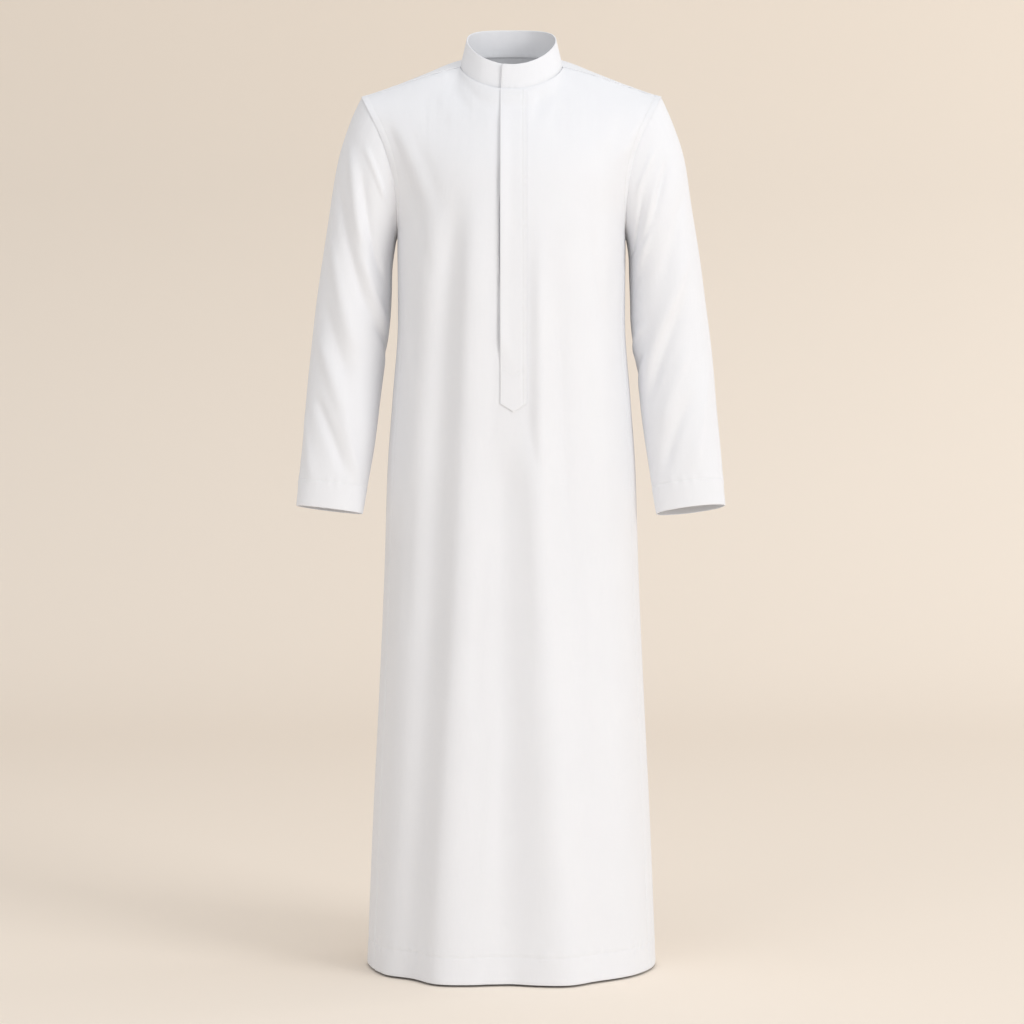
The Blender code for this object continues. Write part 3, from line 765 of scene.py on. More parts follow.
def thicken(thing: Thing, thickness: float, edge: float, double: Array | None = None) -> None:
    """Gives a sheet its thickness inwards and rounds its cut edges.

    Args:
        thing: the one-layer sheet.
        thickness: of the cloth, or of its doubled part.
        edge: radius of its edges.
        double: 1 where the cloth is doubled and 0 elsewhere, point by point.
    """
    single_share, edge_turn = 0.5, radians(50)
    solid = thing.modifiers.new("thickness", "SOLIDIFY")
    solid.thickness = thickness
    solid.offset = -1.0
    solid.use_quality_normals = True
    if double is not None:
        group = thing.vertex_groups.new(name="doubled")
        shares = np.round(double, 2)
        for share in np.unique(shares):
            group.add(np.flatnonzero(shares == share).tolist(), float(share), "REPLACE")
        solid.vertex_group = group.name
        solid.thickness_vertex_group = single_share
    bevel = thing.modifiers.new("edges", "BEVEL")
    bevel.width = edge
    bevel.segments = 2
    bevel.limit_method = "ANGLE"
    bevel.angle_limit = edge_turn
    bevel.use_clamp_overlap = True


@dataclass
class Sewing:
    """Runs of machine stitches, gathered into one mesh."""

    name: str
    pitch: float = 0.0028
    long: float = 0.0022
    thread: float = 0.00024
    sink: float = 0.00006
    above: float = 0.7
    flatten: float = 0.8
    code: Code = field(default_factory=bmesh.new)

    def run(self, points: Array, outs: Array) -> None:
        """Sews along a line on the cloth's outer face, with the cloth's normals there."""
        steps = np.linalg.norm(np.diff(points, axis=0), axis=1)
        along = np.concatenate([[0.0], np.cumsum(steps)])
        number = max(1, int(along[-1] / self.pitch))
        middles = (np.arange(number) + 0.5) * along[-1] / number
        for middle in middles:
            ends = [
                np.array([np.interp(middle + s, along, points[:, k]) for k in range(3)])
                for s in (-self.long / 2, self.long / 2)
            ]
            out = np.array([np.interp(middle, along, outs[:, k]) for k in range(3)])
            self.stitch(Vector(ends[0]), Vector(ends[1]), Vector(out))

    def stitch(self, start: Vector, end: Vector, out: Vector) -> None:
        """One stitch from start to end, lying on the cloth."""
        ahead = (end - start).normalized()
        beside = out.cross(ahead).normalized()
        up = ahead.cross(beside)
        turn = Matrix((ahead, beside, up)).transposed().to_4x4()
        rise = self.thread * self.above - self.sink
        place = Matrix.Translation((start + end) / 2 + up * rise)
        half = (end - start).length / 2
        size = Matrix.Diagonal((half, self.thread, self.thread * self.flatten, 1.0))
        bmesh.ops.create_uvsphere(
            self.code, u_segments=6, v_segments=4, radius=1.0, matrix=place @ turn @ size
        )

    def finish(self) -> Thing:
        """The stitches as one object."""
        for face in self.code.faces:
            face.smooth = True
        return mesh_object(self.name, self.code)


# --- Finishes ------------------------------------------------------------------------------
class NodeKit:
    """Shader node groups that more than one piece of a finish uses, each built once."""

    _built: dict[str, Tree] = {}

    @classmethod
    def once(
        cls, name: str, outputs: Sequence[str], fill: Callable[[Tree, Node, Node], None]
    ) -> Tree:
        """A group that reads a Vector, filled the first time that it is asked for.

        Args:
            name: the group's name.
            outputs: names of its number outputs.
            fill: adds its nodes, given the group and its input and output nodes.

        Returns:
            The group.
        """
        if name not in cls._built:
            group = bpy.data.node_groups.new(name, "ShaderNodeTree")
            cls.socket(group, "Vector", "INPUT", "NodeSocketVector")
            for output in outputs:
                cls.socket(group, output, "OUTPUT", "NodeSocketFloat")
            inside = group.nodes.new("NodeGroupInput")
            outside = group.nodes.new("NodeGroupOutput")
            fill(group, inside, outside)
            cls._built[name] = group
        return cls._built[name]

    @staticmethod
    def socket(group: Tree, name: str, way: str, kind: str, value: object = None) -> None:
        """Adds one named input or output."""
        made = group.interface.new_socket(name=name, in_out=way, socket_type=kind)
        if value is not None:
            made.default_value = value

    @staticmethod
    def maths(tree: Tree, kind: str, *values: object) -> Socket:
        """One Math node.

        Args:
            tree: where it goes.
            kind: its operation.
            values: its inputs, each a number or a socket.

        Returns:
            Its output.
        """
        node = tree.nodes.new("ShaderNodeMath")
        node.operation = kind
        for slot, value in zip(node.inputs, values):
            if isinstance(value, Socket):
                tree.links.new(value, slot)
            else:
                slot.default_value = value
        return node.outputs[0]

    @staticmethod
    def noise(
        tree: Tree, vector: Socket, scale: Scale, detail: float, distortion: float = 0.0
    ) -> Socket:
        """Noise whose grain is longer where its scale is smaller, by direction.

        Args:
            tree: where it goes.
            vector: the places that it reads.
            scale: grains for each metre, along the three axes.
            detail: how many finer layers it has.
            distortion: how far its grains wander.

        Returns:
            The noise.
        """
        mapping = tree.nodes.new("ShaderNodeMapping")
        mapping.inputs["Scale"].default_value = scale
        noise = tree.nodes.new("ShaderNodeTexNoise")
        noise.inputs["Scale"].default_value = 1.0
        noise.inputs["Detail"].default_value = detail
        noise.inputs["Distortion"].default_value = distortion
        tree.links.new(vector, mapping.inputs["Vector"])
        tree.links.new(mapping.outputs["Vector"], noise.inputs["Vector"])
        return noise.outputs["Fac"]

    @classmethod
    def weave(cls) -> Tree:
        """Plain weave: the height of warp and weft as they pass over each other."""

        def fill(group: Tree, inside: Node, outside: Node) -> None:
            """Adds the weave's nodes."""
            cls.socket(group, "Threads", "INPUT", "NodeSocketFloat", 2000.0)
            parts = group.nodes.new("ShaderNodeSeparateXYZ")
            group.links.new(inside.outputs["Vector"], parts.inputs[0])
            waves = []
            for axis in ("X", "Y"):
                threads = inside.outputs["Threads"]
                turns = cls.maths(group, "MULTIPLY", parts.outputs[axis], threads)
                waves.append(cls.maths(group, "SINE", cls.maths(group, "MULTIPLY", turns, pi)))
            over = cls.maths(group, "MULTIPLY", waves[0], waves[1])
            blend = group.nodes.new("ShaderNodeMix")
            blend.data_type = "FLOAT"
            group.links.new(cls.maths(group, "GREATER_THAN", over, 0.0), blend.inputs["Factor"])
            for slot, wave in zip(("A", "B"), waves):
                group.links.new(cls.maths(group, "ABSOLUTE", wave), blend.inputs[slot])
            group.links.new(blend.outputs["Result"], outside.inputs["Height"])

        return cls.once("plain_weave", ("Height",), fill)

    @classmethod
    def slub(cls) -> Tree:
        """Slightly thick and thin yarns, long in one direction, and cloudy unevenness."""

        def fill(group: Tree, inside: Node, outside: Node) -> None:
            """Adds the slub's nodes."""
            scales = ((900.0, 45.0, 1.0), (45.0, 900.0, 1.0), (14.0, 9.0, 1.0))
            vector = inside.outputs["Vector"]
            warp, weft, cloud = (cls.noise(group, vector, scale, 2.0) for scale in scales)
            both = cls.maths(group, "ADD", warp, weft)
            group.links.new(cls.maths(group, "MULTIPLY", both, 0.5), outside.inputs["Slub"])
            group.links.new(cloud, outside.inputs["Cloud"])

        return cls.once("yarn_slub", ("Slub", "Cloud"), fill)

    @classmethod
    def rumple(cls) -> Tree:
        """The faint rumple left in pressed cotton, a few millimetres to centimetres wide."""

        def fill(group: Tree, inside: Node, outside: Node) -> None:
            """Adds the rumple's nodes."""
            heights = []
            for scale, share in (((46.0, 17.0, 1.0), 1.0), ((130.0, 75.0, 1.0), 0.35)):
                grain = cls.noise(group, inside.outputs["Vector"], scale, 3.0, 0.4)
                heights.append(cls.maths(group, "MULTIPLY", grain, share))
            group.links.new(cls.maths(group, "ADD", *heights), outside.inputs["Height"])

        return cls.once("pressed_rumple", ("Height",), fill)

    @staticmethod
    def tint(tree: Tree, colours: tuple[Colour, Colour], share: Socket) -> None:
        """Mixes the shader's colour from two, by a share that changes over the surface."""
        blend = tree.nodes.new("ShaderNodeMix")
        blend.data_type = "RGBA"
        for slot, colour in zip(("A", "B"), colours):
            blend.inputs[slot].default_value = (*colour, 1.0)
        tree.links.new(share, blend.inputs["Factor"])
        shader = tree.nodes["Principled BSDF"]
        tree.links.new(blend.outputs["Result"], shader.inputs["Base Color"])

    @staticmethod
    def material(name: str, plain: dict[str, float]) -> Finish:
        """A new material with plain numbers on its shader's own sockets."""
        made = bpy.data.materials.new(name)
        made.use_nodes = True
        shader = made.node_tree.nodes["Principled BSDF"]
        for socket, value in plain.items():
            shader.inputs[socket].default_value = value
        return made


@dataclass(frozen=True)
class Cotton:
    """White plain-weave cotton: weave, slub, faint rumple and a soft sheen."""

    name: str = "white_cotton"
    colour: Colour = (0.794, 0.802, 0.830)
    shade: Colour = (0.748, 0.755, 0.782)
    roughness: float = 0.80
    uneven_roughness: float = 0.12
    sheen: float = 0.22
    sheen_roughness: float = 0.45
    refraction: float = 1.46
    gloss: float = 0.30
    threads: float = 2300.0
    weave_height: float = 0.00005
    weave_strength: float = 0.6
    rumple_height: float = 0.00035
    tint_share: float = 0.7
    slub_share: float = 1.5

    def build(self) -> Finish:
        """The material, read from each piece's own UV map in metres."""
        plain = {
            "Sheen Weight": self.sheen,
            "Sheen Roughness": self.sheen_roughness,
            "IOR": self.refraction,
            "Specular IOR Level": self.gloss,
        }
        made = NodeKit.material(self.name, plain)
        tree = made.node_tree
        shader = tree.nodes["Principled BSDF"]
        uv = tree.nodes.new("ShaderNodeUVMap")
        uv.uv_map = "UVMap"
        weave = self.group(tree, NodeKit.weave(), uv)
        weave.inputs["Threads"].default_value = self.threads
        slub = self.group(tree, NodeKit.slub(), uv)
        rumple = self.group(tree, NodeKit.rumple(), uv)
        parts = [
            NodeKit.maths(tree, "MULTIPLY", slub.outputs[name], self.tint_share)
            for name in ("Slub", "Cloud")
        ]
        NodeKit.tint(tree, (self.shade, self.colour), NodeKit.maths(tree, "ADD", *parts))
        change = NodeKit.maths(tree, "MULTIPLY", slub.outputs["Slub"], self.uneven_roughness)
        least = self.roughness - self.uneven_roughness / 2
        tree.links.new(NodeKit.maths(tree, "ADD", change, least), shader.inputs["Roughness"])
        yarn = NodeKit.maths(tree, "MULTIPLY", slub.outputs["Slub"], self.slub_share)
        fine = NodeKit.maths(tree, "ADD", weave.outputs["Height"], yarn)
        layers = (
            (rumple.outputs["Height"], self.rumple_height, 1.0),
            (fine, self.weave_height, self.weave_strength),
        )
        normal = None
        for height, distance, strength in layers:
            bump = tree.nodes.new("ShaderNodeBump")
            bump.inputs["Strength"].default_value = strength
            bump.inputs["Distance"].default_value = distance
            tree.links.new(height, bump.inputs["Height"])
            if normal is not None:
                tree.links.new(normal, bump.inputs["Normal"])
            normal = bump.outputs["Normal"]
        tree.links.new(normal, shader.inputs["Normal"])
        made.diffuse_color = (*self.colour, 1.0)
        return made

    @staticmethod
    def group(tree: Tree, chosen: Tree, uv: Node) -> Node:
        """Places a shared group in the material, reading the UV map."""
        node = tree.nodes.new("ShaderNodeGroup")
        node.node_tree = chosen
        tree.links.new(uv.outputs["UV"], node.inputs["Vector"])
        return node


@dataclass(frozen=True)
class Thread:
    """White sewing thread, a little brighter and smoother than the cloth."""

    name: str = "white_thread"
    colour: Colour = (0.86, 0.855, 0.84)
    shade: Colour = (0.74, 0.735, 0.72)
    roughness: float = 0.55
    sheen: float = 0.3
    twist: float = 2600.0
    twist_height: float = 0.00004

    def build(self) -> Finish:
        """The material, with a twist along the thread in Object coordinates."""
        plain = {"Roughness": self.roughness, "Sheen Weight": self.sheen}
        made = NodeKit.material(self.name, plain)
        tree = made.node_tree
        places = tree.nodes.new("ShaderNodeTexCoord")
        noise = tree.nodes.new("ShaderNodeTexNoise")
        noise.inputs["Scale"].default_value = self.twist
        tree.links.new(places.outputs["Object"], noise.inputs["Vector"])
        NodeKit.tint(tree, (self.shade, self.colour), noise.outputs["Fac"])
        bump = tree.nodes.new("ShaderNodeBump")
        bump.inputs["Distance"].default_value = self.twist_height
        tree.links.new(noise.outputs["Fac"], bump.inputs["Height"])
        shader = tree.nodes["Principled BSDF"]
        tree.links.new(bump.outputs["Normal"], shader.inputs["Normal"])
        made.diffuse_color = (*self.colour, 1.0)
        return made


@dataclass(frozen=True)
class Paper:
    """The studio's seamless backdrop paper, its colour painted paler towards the floor as painted
    light.
    """

    name: str = "backdrop_paper"
    # Painted light: upper is the paper with painted shade up the wall, lower the same paper
    # painted paler near the floor.
    upper: Colour = (0.822, 0.742, 0.652)
    lower: Colour = (0.95, 0.86, 0.76)
    high: float = 0.3
    low: float = -1.4
    cloud: float = 0.12
    cloud_scale: float = 0.8
    roughness: float = 0.95
    gloss: float = 0.1

    def build(self) -> Finish:
        """The material, with painted light that makes it paler with depth, and faintly cloudy."""
        plain = {"Roughness": self.roughness, "Specular IOR Level": self.gloss}
        made = NodeKit.material(self.name, plain)
        tree = made.node_tree
        places = tree.nodes.new("ShaderNodeTexCoord")
        noise = tree.nodes.new("ShaderNodeTexNoise")
        noise.inputs["Scale"].default_value = self.cloud_scale
        tree.links.new(places.outputs["Object"], noise.inputs["Vector"])
        parts = tree.nodes.new("ShaderNodeSeparateXYZ")
        tree.links.new(places.outputs["Object"], parts.inputs["Vector"])
        depth = tree.nodes.new("ShaderNodeMapRange")
        depth.inputs["From Min"].default_value = self.high
        depth.inputs["From Max"].default_value = self.low
        tree.links.new(parts.outputs["Z"], depth.inputs["Value"])
        clouds = NodeKit.maths(tree, "MULTIPLY", noise.outputs["Fac"], self.cloud)
        share = NodeKit.maths(tree, "ADD", depth.outputs["Result"], clouds)
        # Painted light: the colour runs from the darker upper to the paler lower by height.
        NodeKit.tint(tree, (self.upper, self.lower), share)
        return made


# --- Sub-assemblies --------------------------------------------------------------------------
@dataclass
class Workroom:
    """What every sub-assembly shares: the form, the finishes and how pieces are put in."""

    form: RobeForm
    cotton: Finish
    thread: Finish
    cloth: float = 0.0007
    fine_edge: float = 0.0002

    def dress(self, thing: Thing, finish: Finish) -> None:
        """Gives a piece its finish and lets it ride with the robe."""
        thing.data.materials.append(finish)
        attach(thing, BODY)
        triangles = len(thing.data.polygons) * 2
        LOG.info("%s: %d triangles before its thickness", thing.name, triangles)

    def cut(
        self,
        sheet: Sheet,
        lift: Lift,
        node: str,
        wall: tuple[float, float],
        slot: str = CLOTH_SLOT,
        doubled: Callable[[Thing], Array] | None = None,
    ) -> Thing:
        """Makes the piece of cloth that stands for a solid.

        Args:
            sheet: its form.
            lift: how it lies on its form.
            node: the solid's name.
            wall: its thickness and the radius of its edges.
            slot: a material slot's name, not used.
            doubled: finds where the cloth is doubled, point by point.

        Returns:
            The piece, dressed.
        """
        thing = sheet.build(lift)
        thicken(thing, *wall, doubled(thing) if doubled else None)
        self.dress(thing, self.cotton)
        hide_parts(node)
        return thing

    def sewn(self, sewing: Sewing) -> Thing:
        """Finishes a gathering of stitches."""
        thing = sewing.finish()
        self.dress(thing, self.thread)
        return thing


def finer_ends(count: int, share: float) -> Array:
    """0 to 1 in count steps, closer together at both ends by share."""
    even = np.linspace(0.0, 1.0, count + 1)
    return even - share * np.sin(2 * pi * even) / (2 * pi)


@dataclass
class BodyPanels:
    """The front, the back and the yoke over the shoulders, with their seams."""

    room: Workroom
    columns: int = 172
    finer: float = 0.55
    front_rows: int = 214
    back_rows: int = 196
    hem_rows: int = 30
    hem: float = 0.042
    hem_zone: float = 0.056
    hem_edge: float = 0.00025
    band: float = 0.0095
    band_raised: float = 0.0005
    band_step: float = 0.0025
    band_lead: float = 0.001
    band_groove: Groove = Groove(0.0004, 0.0016)
    band_pucker: Pucker = Pucker(0.0005, 0.017, 0.0, 0.010)
    side_roll: Rolled = Rolled(0.0007, 0.0022)
    side_pucker: Pucker = Pucker(0.0006, 0.034, 3.0, 0.014)
    side_start: float = 0.012
    side_fade: float = 0.02
    hem_groove: Groove = Groove(0.0005, 0.0018)
    hem_pucker: Pucker = Pucker(0.0010, 0.019, 4.0, 0.010)
    hem_wave: Pucker = Pucker(0.0007, 0.061, 5.0, 0.034)
    hem_roll: Rolled = Rolled(0.0004, 0.0012)
    hem_step: float = 0.002
    yoke_band: float = 0.0055
    yoke_raised: float = 0.0009
    yoke_groove: Groove = Groove(0.0009, 0.0018)
    yoke_roll: Rolled = Rolled(0.0007, 0.0010)
    yoke_step: float = 0.002
    outer_step: float = 0.0022
    outer_groove: Groove = Groove(0.0003, 0.0015)
    outer_pucker: Pucker = Pucker(0.0004, 0.018, 9.0, 0.009)
    yoke_pucker: Pucker = Pucker(0.0003, 0.015, 4.0, 0.008)
    yoke_pucker_in: float = 0.007
    yoke_drift: float = 0.0006
    yoke_span: tuple[float, float] = (0.2, 0.15)
    neck_ridge: float = 0.0004
    neck_band: float = 0.005
    neck_step: float = 0.003
    top_line: float = 0.006
    front_pucker: Pucker = Pucker(0.0004, 0.016, 3.0, 0.010)
    front_under: Groove = Groove(0.0002, 0.004)
    back_pucker: Pucker = Pucker(0.0004, 0.021, 5.0, 0.012)
    back_under: Groove = Groove(0.0005, 0.003)
    yoke_lap: float = 0.008
    neck_lap: float = 0.010
    crevice: tuple[float, float] = (0.034, 0.050)
    crevice_columns: int = 15
    crevice_deep: float = 0.0032
    crevice_half: float = 0.0010
    crevice_fade: float = 0.04
    yoke_columns: int = 150
    yoke_rows: int = 44
    yoke_finer: float = 0.5
    calm: float = 0.03
    front_seed: float = 1.0
    back_seed: float = 7.0
    yoke_seed: float = 3.0
    arm_clear: float = 0.004

    def rows(self, top: float, count: int) -> Array:
        """Row heights from the top edge to the hem, finer over the hem."""
        form = self.room.form
        start = form.hem_row + self.hem_zone
        upper = np.linspace(top, start, count + 1)
        return np.concatenate([upper, np.linspace(start, form.hem_row, self.hem_rows + 1)[1:]])

    def seams(self, row: Array, reach: Reach, seed: float) -> Array:
        """The lift of both panels' side edges and hem, with their puckers.

        Args:
            row: each point's row height.
            reach: how far it lies from the panel's edges.
            seed: makes one panel's puckers unlike the other's. The side seam's own pucker
                is the same on both, so that the panels meet.

        Returns:
            The lift of each point.
        """
        side, hem = reach.side, reach.bottom - self.hem
        below = ease((self.room.form.pit_row + self.side_start - row) / self.side_fade)
        lift = (1 - below) * (
            self.band_raised * (1 - ease((side - self.band + self.band_lead) / self.band_step))
            + self.band_groove.lift(side - self.band)
            + self.band_pucker.lift(reach.top, side - self.band, seed)
        )
        lift = lift + below * (self.side_roll.lift(side) + self.side_pucker.lift(row, side))
        lift = lift + self.hem_groove.lift(hem) + self.hem_pucker.lift(reach.left, hem, seed)
        wave = self.hem_wave.lift(reach.left, reach.bottom, seed) * ease(side / self.calm)
        return lift + wave + self.hem_roll.lift(reach.bottom)

    def hem_order(self, thing: Thing) -> Array:
        """The hem's share for each vertex, by its height on the cloth."""
        layer = thing.data.uv_layers["UVMap"].data
        down = np.zeros(len(thing.data.vertices))
        for loop in thing.data.loops:
            down[loop.vertex_index] = layer[loop.index].uv[1]
        rise = down - down.min()
        return 1 - ease((rise - self.hem + self.hem_step / 2) / self.hem_step)

    def beside_placket(self, point: Array) -> Array:
        """The deep crevice along the placket's free edge, between its two sewn ends."""
        form = self.room.form
        edge = form.placket_x - form.placket_half - self.crevice_half / 2
        ends = form.open_share(point[..., 2], self.crevice_fade, self.crevice_fade)
        return -self.crevice_deep * bell(point[..., 0] - edge, self.crevice_half) * ends

    def front_lift(self, across: Array, row: Array, reach: Reach) -> Array:
        """The front's lift from its surface."""
        lift = self.room.cloth + self.seams(row, reach, self.front_seed)
        lift = lift + self.beside_placket(self.room.form.front(across, row))
        neck = np.abs(across) < self.room.form.neck_share
        ridge = self.neck_ridge * (1 - ease((reach.top - self.neck_band) / self.neck_step))
        pucker = self.front_pucker.lift(reach.left, reach.top - self.top_line)
        return lift + pucker + np.where(neck, ridge, self.front_under.lift(reach.top))

    def back_lift(self, across: Array, row: Array, reach: Reach) -> Array:
        """The back's lift from its surface."""
        lift = self.room.cloth + self.seams(row, reach, self.back_seed)
        pucker = self.back_pucker.lift(reach.left, reach.top - self.top_line)
        return lift + pucker + self.back_under.lift(reach.top)

    def outer_band(self, round_neck: Array) -> Array:
        """The width of the yoke's sewn band: the yoke's own behind, the armhole's beside."""
        behind = np.abs(round_neck) < self.room.form.yoke_corner
        return np.where(behind, self.yoke_band, self.band)

    def yoke_lift(self, round_neck: Array, out: Array, reach: Reach) -> Array:
        """The yoke's lift, raised along its sewn edges."""
        side, low = reach.side, reach.bottom - self.outer_band(round_neck)
        line = side - self.yoke_band
        raised = self.yoke_raised * (1 - ease(line / self.yoke_step))
        raised = raised + self.band_raised * (1 - ease(low / self.outer_step))
        sunk = self.yoke_roll.lift(side) + self.yoke_groove.lift(line)
        sunk = sunk + self.outer_groove.lift(low)
        pucker = self.outer_pucker.lift(reach.left, low)
        pucker = pucker + self.yoke_pucker.lift(reach.top, side - self.yoke_pucker_in)
        wide, long = self.yoke_span
        soft = self.yoke_drift * drift(round_neck * wide, out * long, self.yoke_seed)
        for far in (reach.top, reach.bottom, side):
            soft = soft * ease(far / self.calm)
        return self.room.cloth + raised + sunk + pucker + soft

    def plans(self) -> tuple[tuple[Sheet, Lift, str, tuple[float, float], float], ...]:
        """Each panel's sheet, lift, solid, flat size and flat area."""
        form = self.room.form
        us = mix(-1.0, 1.0, finer_ends(self.columns, self.finer))
        extra = -np.linspace(*self.crevice, self.crevice_columns)
        front_us = np.unique(np.concatenate([us, extra]))
        front_vs = self.rows(form.neck_row, self.front_rows)
        back_vs = self.rows(form.yoke_row, self.back_rows)
        limit = 1.0 + self.yoke_lap
        yoke_us = mix(-limit, limit, finer_ends(self.yoke_columns, self.yoke_finer))
        yoke_vs = mix(-self.neck_lap, 1.0, finer_ends(self.yoke_rows, self.yoke_finer))
        front = Sheet("front_cloth", form.front, front_us, front_vs, 1)
        back = Sheet("back_cloth", form.back, us, back_vs, -1)
        yoke = Sheet("yoke_cloth", form.yoke, yoke_us, yoke_vs, 1)
        return (
            (front, self.front_lift, "front_panel", (0.72, 1.46), 0.68),
            (back, self.back_lift, "back_panel", (0.74, 1.34), 0.83),
            (yoke, self.yoke_lift, "yoke", (0.52, 0.20), 0.071),
        )

    def build(self) -> list[Thing]:
        """Makes the three panels and their stitching."""
        room = self.room
        made = []
        for sheet, lift, node, flat, area in self.plans():
            if node == "yoke":
                thing = room.cut(sheet, lift, node, (room.cloth, room.fine_edge))
            else:
                wall = (room.cloth * 2, self.hem_edge)
                thing = room.cut(sheet, lift, node, wall, doubled=self.hem_order)
            stitches = self.stitch(sheet, lift, node)
            made.append(thing)
        return made

    def stitch(self, sheet: Sheet, lift: Lift, node: str) -> Thing:
        """The topstitching on one panel.

        Args:
            sheet: the panel.
            lift: its lift.
            node: the solid that it stands for.

        Returns:
            The stitches as one piece.
        """
        points, outs, reach = sheet.laid(lift)
        sewing = Sewing(node + "_stitches")
        is_yoke = node == "yoke"
        arm = sheet.vs > self.room.form.pit_row + self.arm_clear
        for edge, from_end in ((reach.left, False), (reach.right, True)):
            inset = self.yoke_band if is_yoke else self.band
            run = at_distance(points, outs, edge, inset, 1, from_end)
            sewing.run(*(trim(run, 3, 3) if is_yoke else (run[0][arm], run[1][arm])))
        low = self.outer_band(sheet.us) if is_yoke else self.hem
        run = at_distance(points, outs, reach.bottom, low, 0, True)
        sewing.run(*(trim(run, 4, 4) if is_yoke else run))
        return self.room.sewn(sewing)


def at_distance(
    points: Array, outs: Array, far: Array, wanted: Array | float, axis: int, from_end: bool
) -> tuple[Array, Array]:
    """The line on a net of points at a distance from one of its edges.

    Args:
        points: the net, rows by columns.
        outs: its normals.
        far: each point's distance from the edge.
        wanted: the distance of the line, one for each row or column.
        axis: 1 to look along rows, 0 to look along columns.
        from_end: whether the edge is at the net's last row or column.

    Returns:
        The line's points and normals.
    """
    if axis == 0:
        points, outs, far = (np.swapaxes(a, 0, 1) for a in (points, outs, far))
    if from_end:
        points, outs, far = points[:, ::-1], outs[:, ::-1], far[:, ::-1]
    goal = np.broadcast_to(wanted, (len(points),))

    def read(net: Array) -> Array:
        """The net's values at the wanted distance, one for each line across the edge."""
        lines = zip(goal, far, net)
        return np.array([[np.interp(g, f, n[:, k]) for k in range(3)] for g, f, n in lines])

    return read(points), unit(read(outs))


def trim(run: tuple[Array, Array], first: int, last: int) -> tuple[Array, Array]:
    """A run of points without its first and last few."""
    return run[0][first : len(run[0]) - last], run[1][first : len(run[1]) - last]


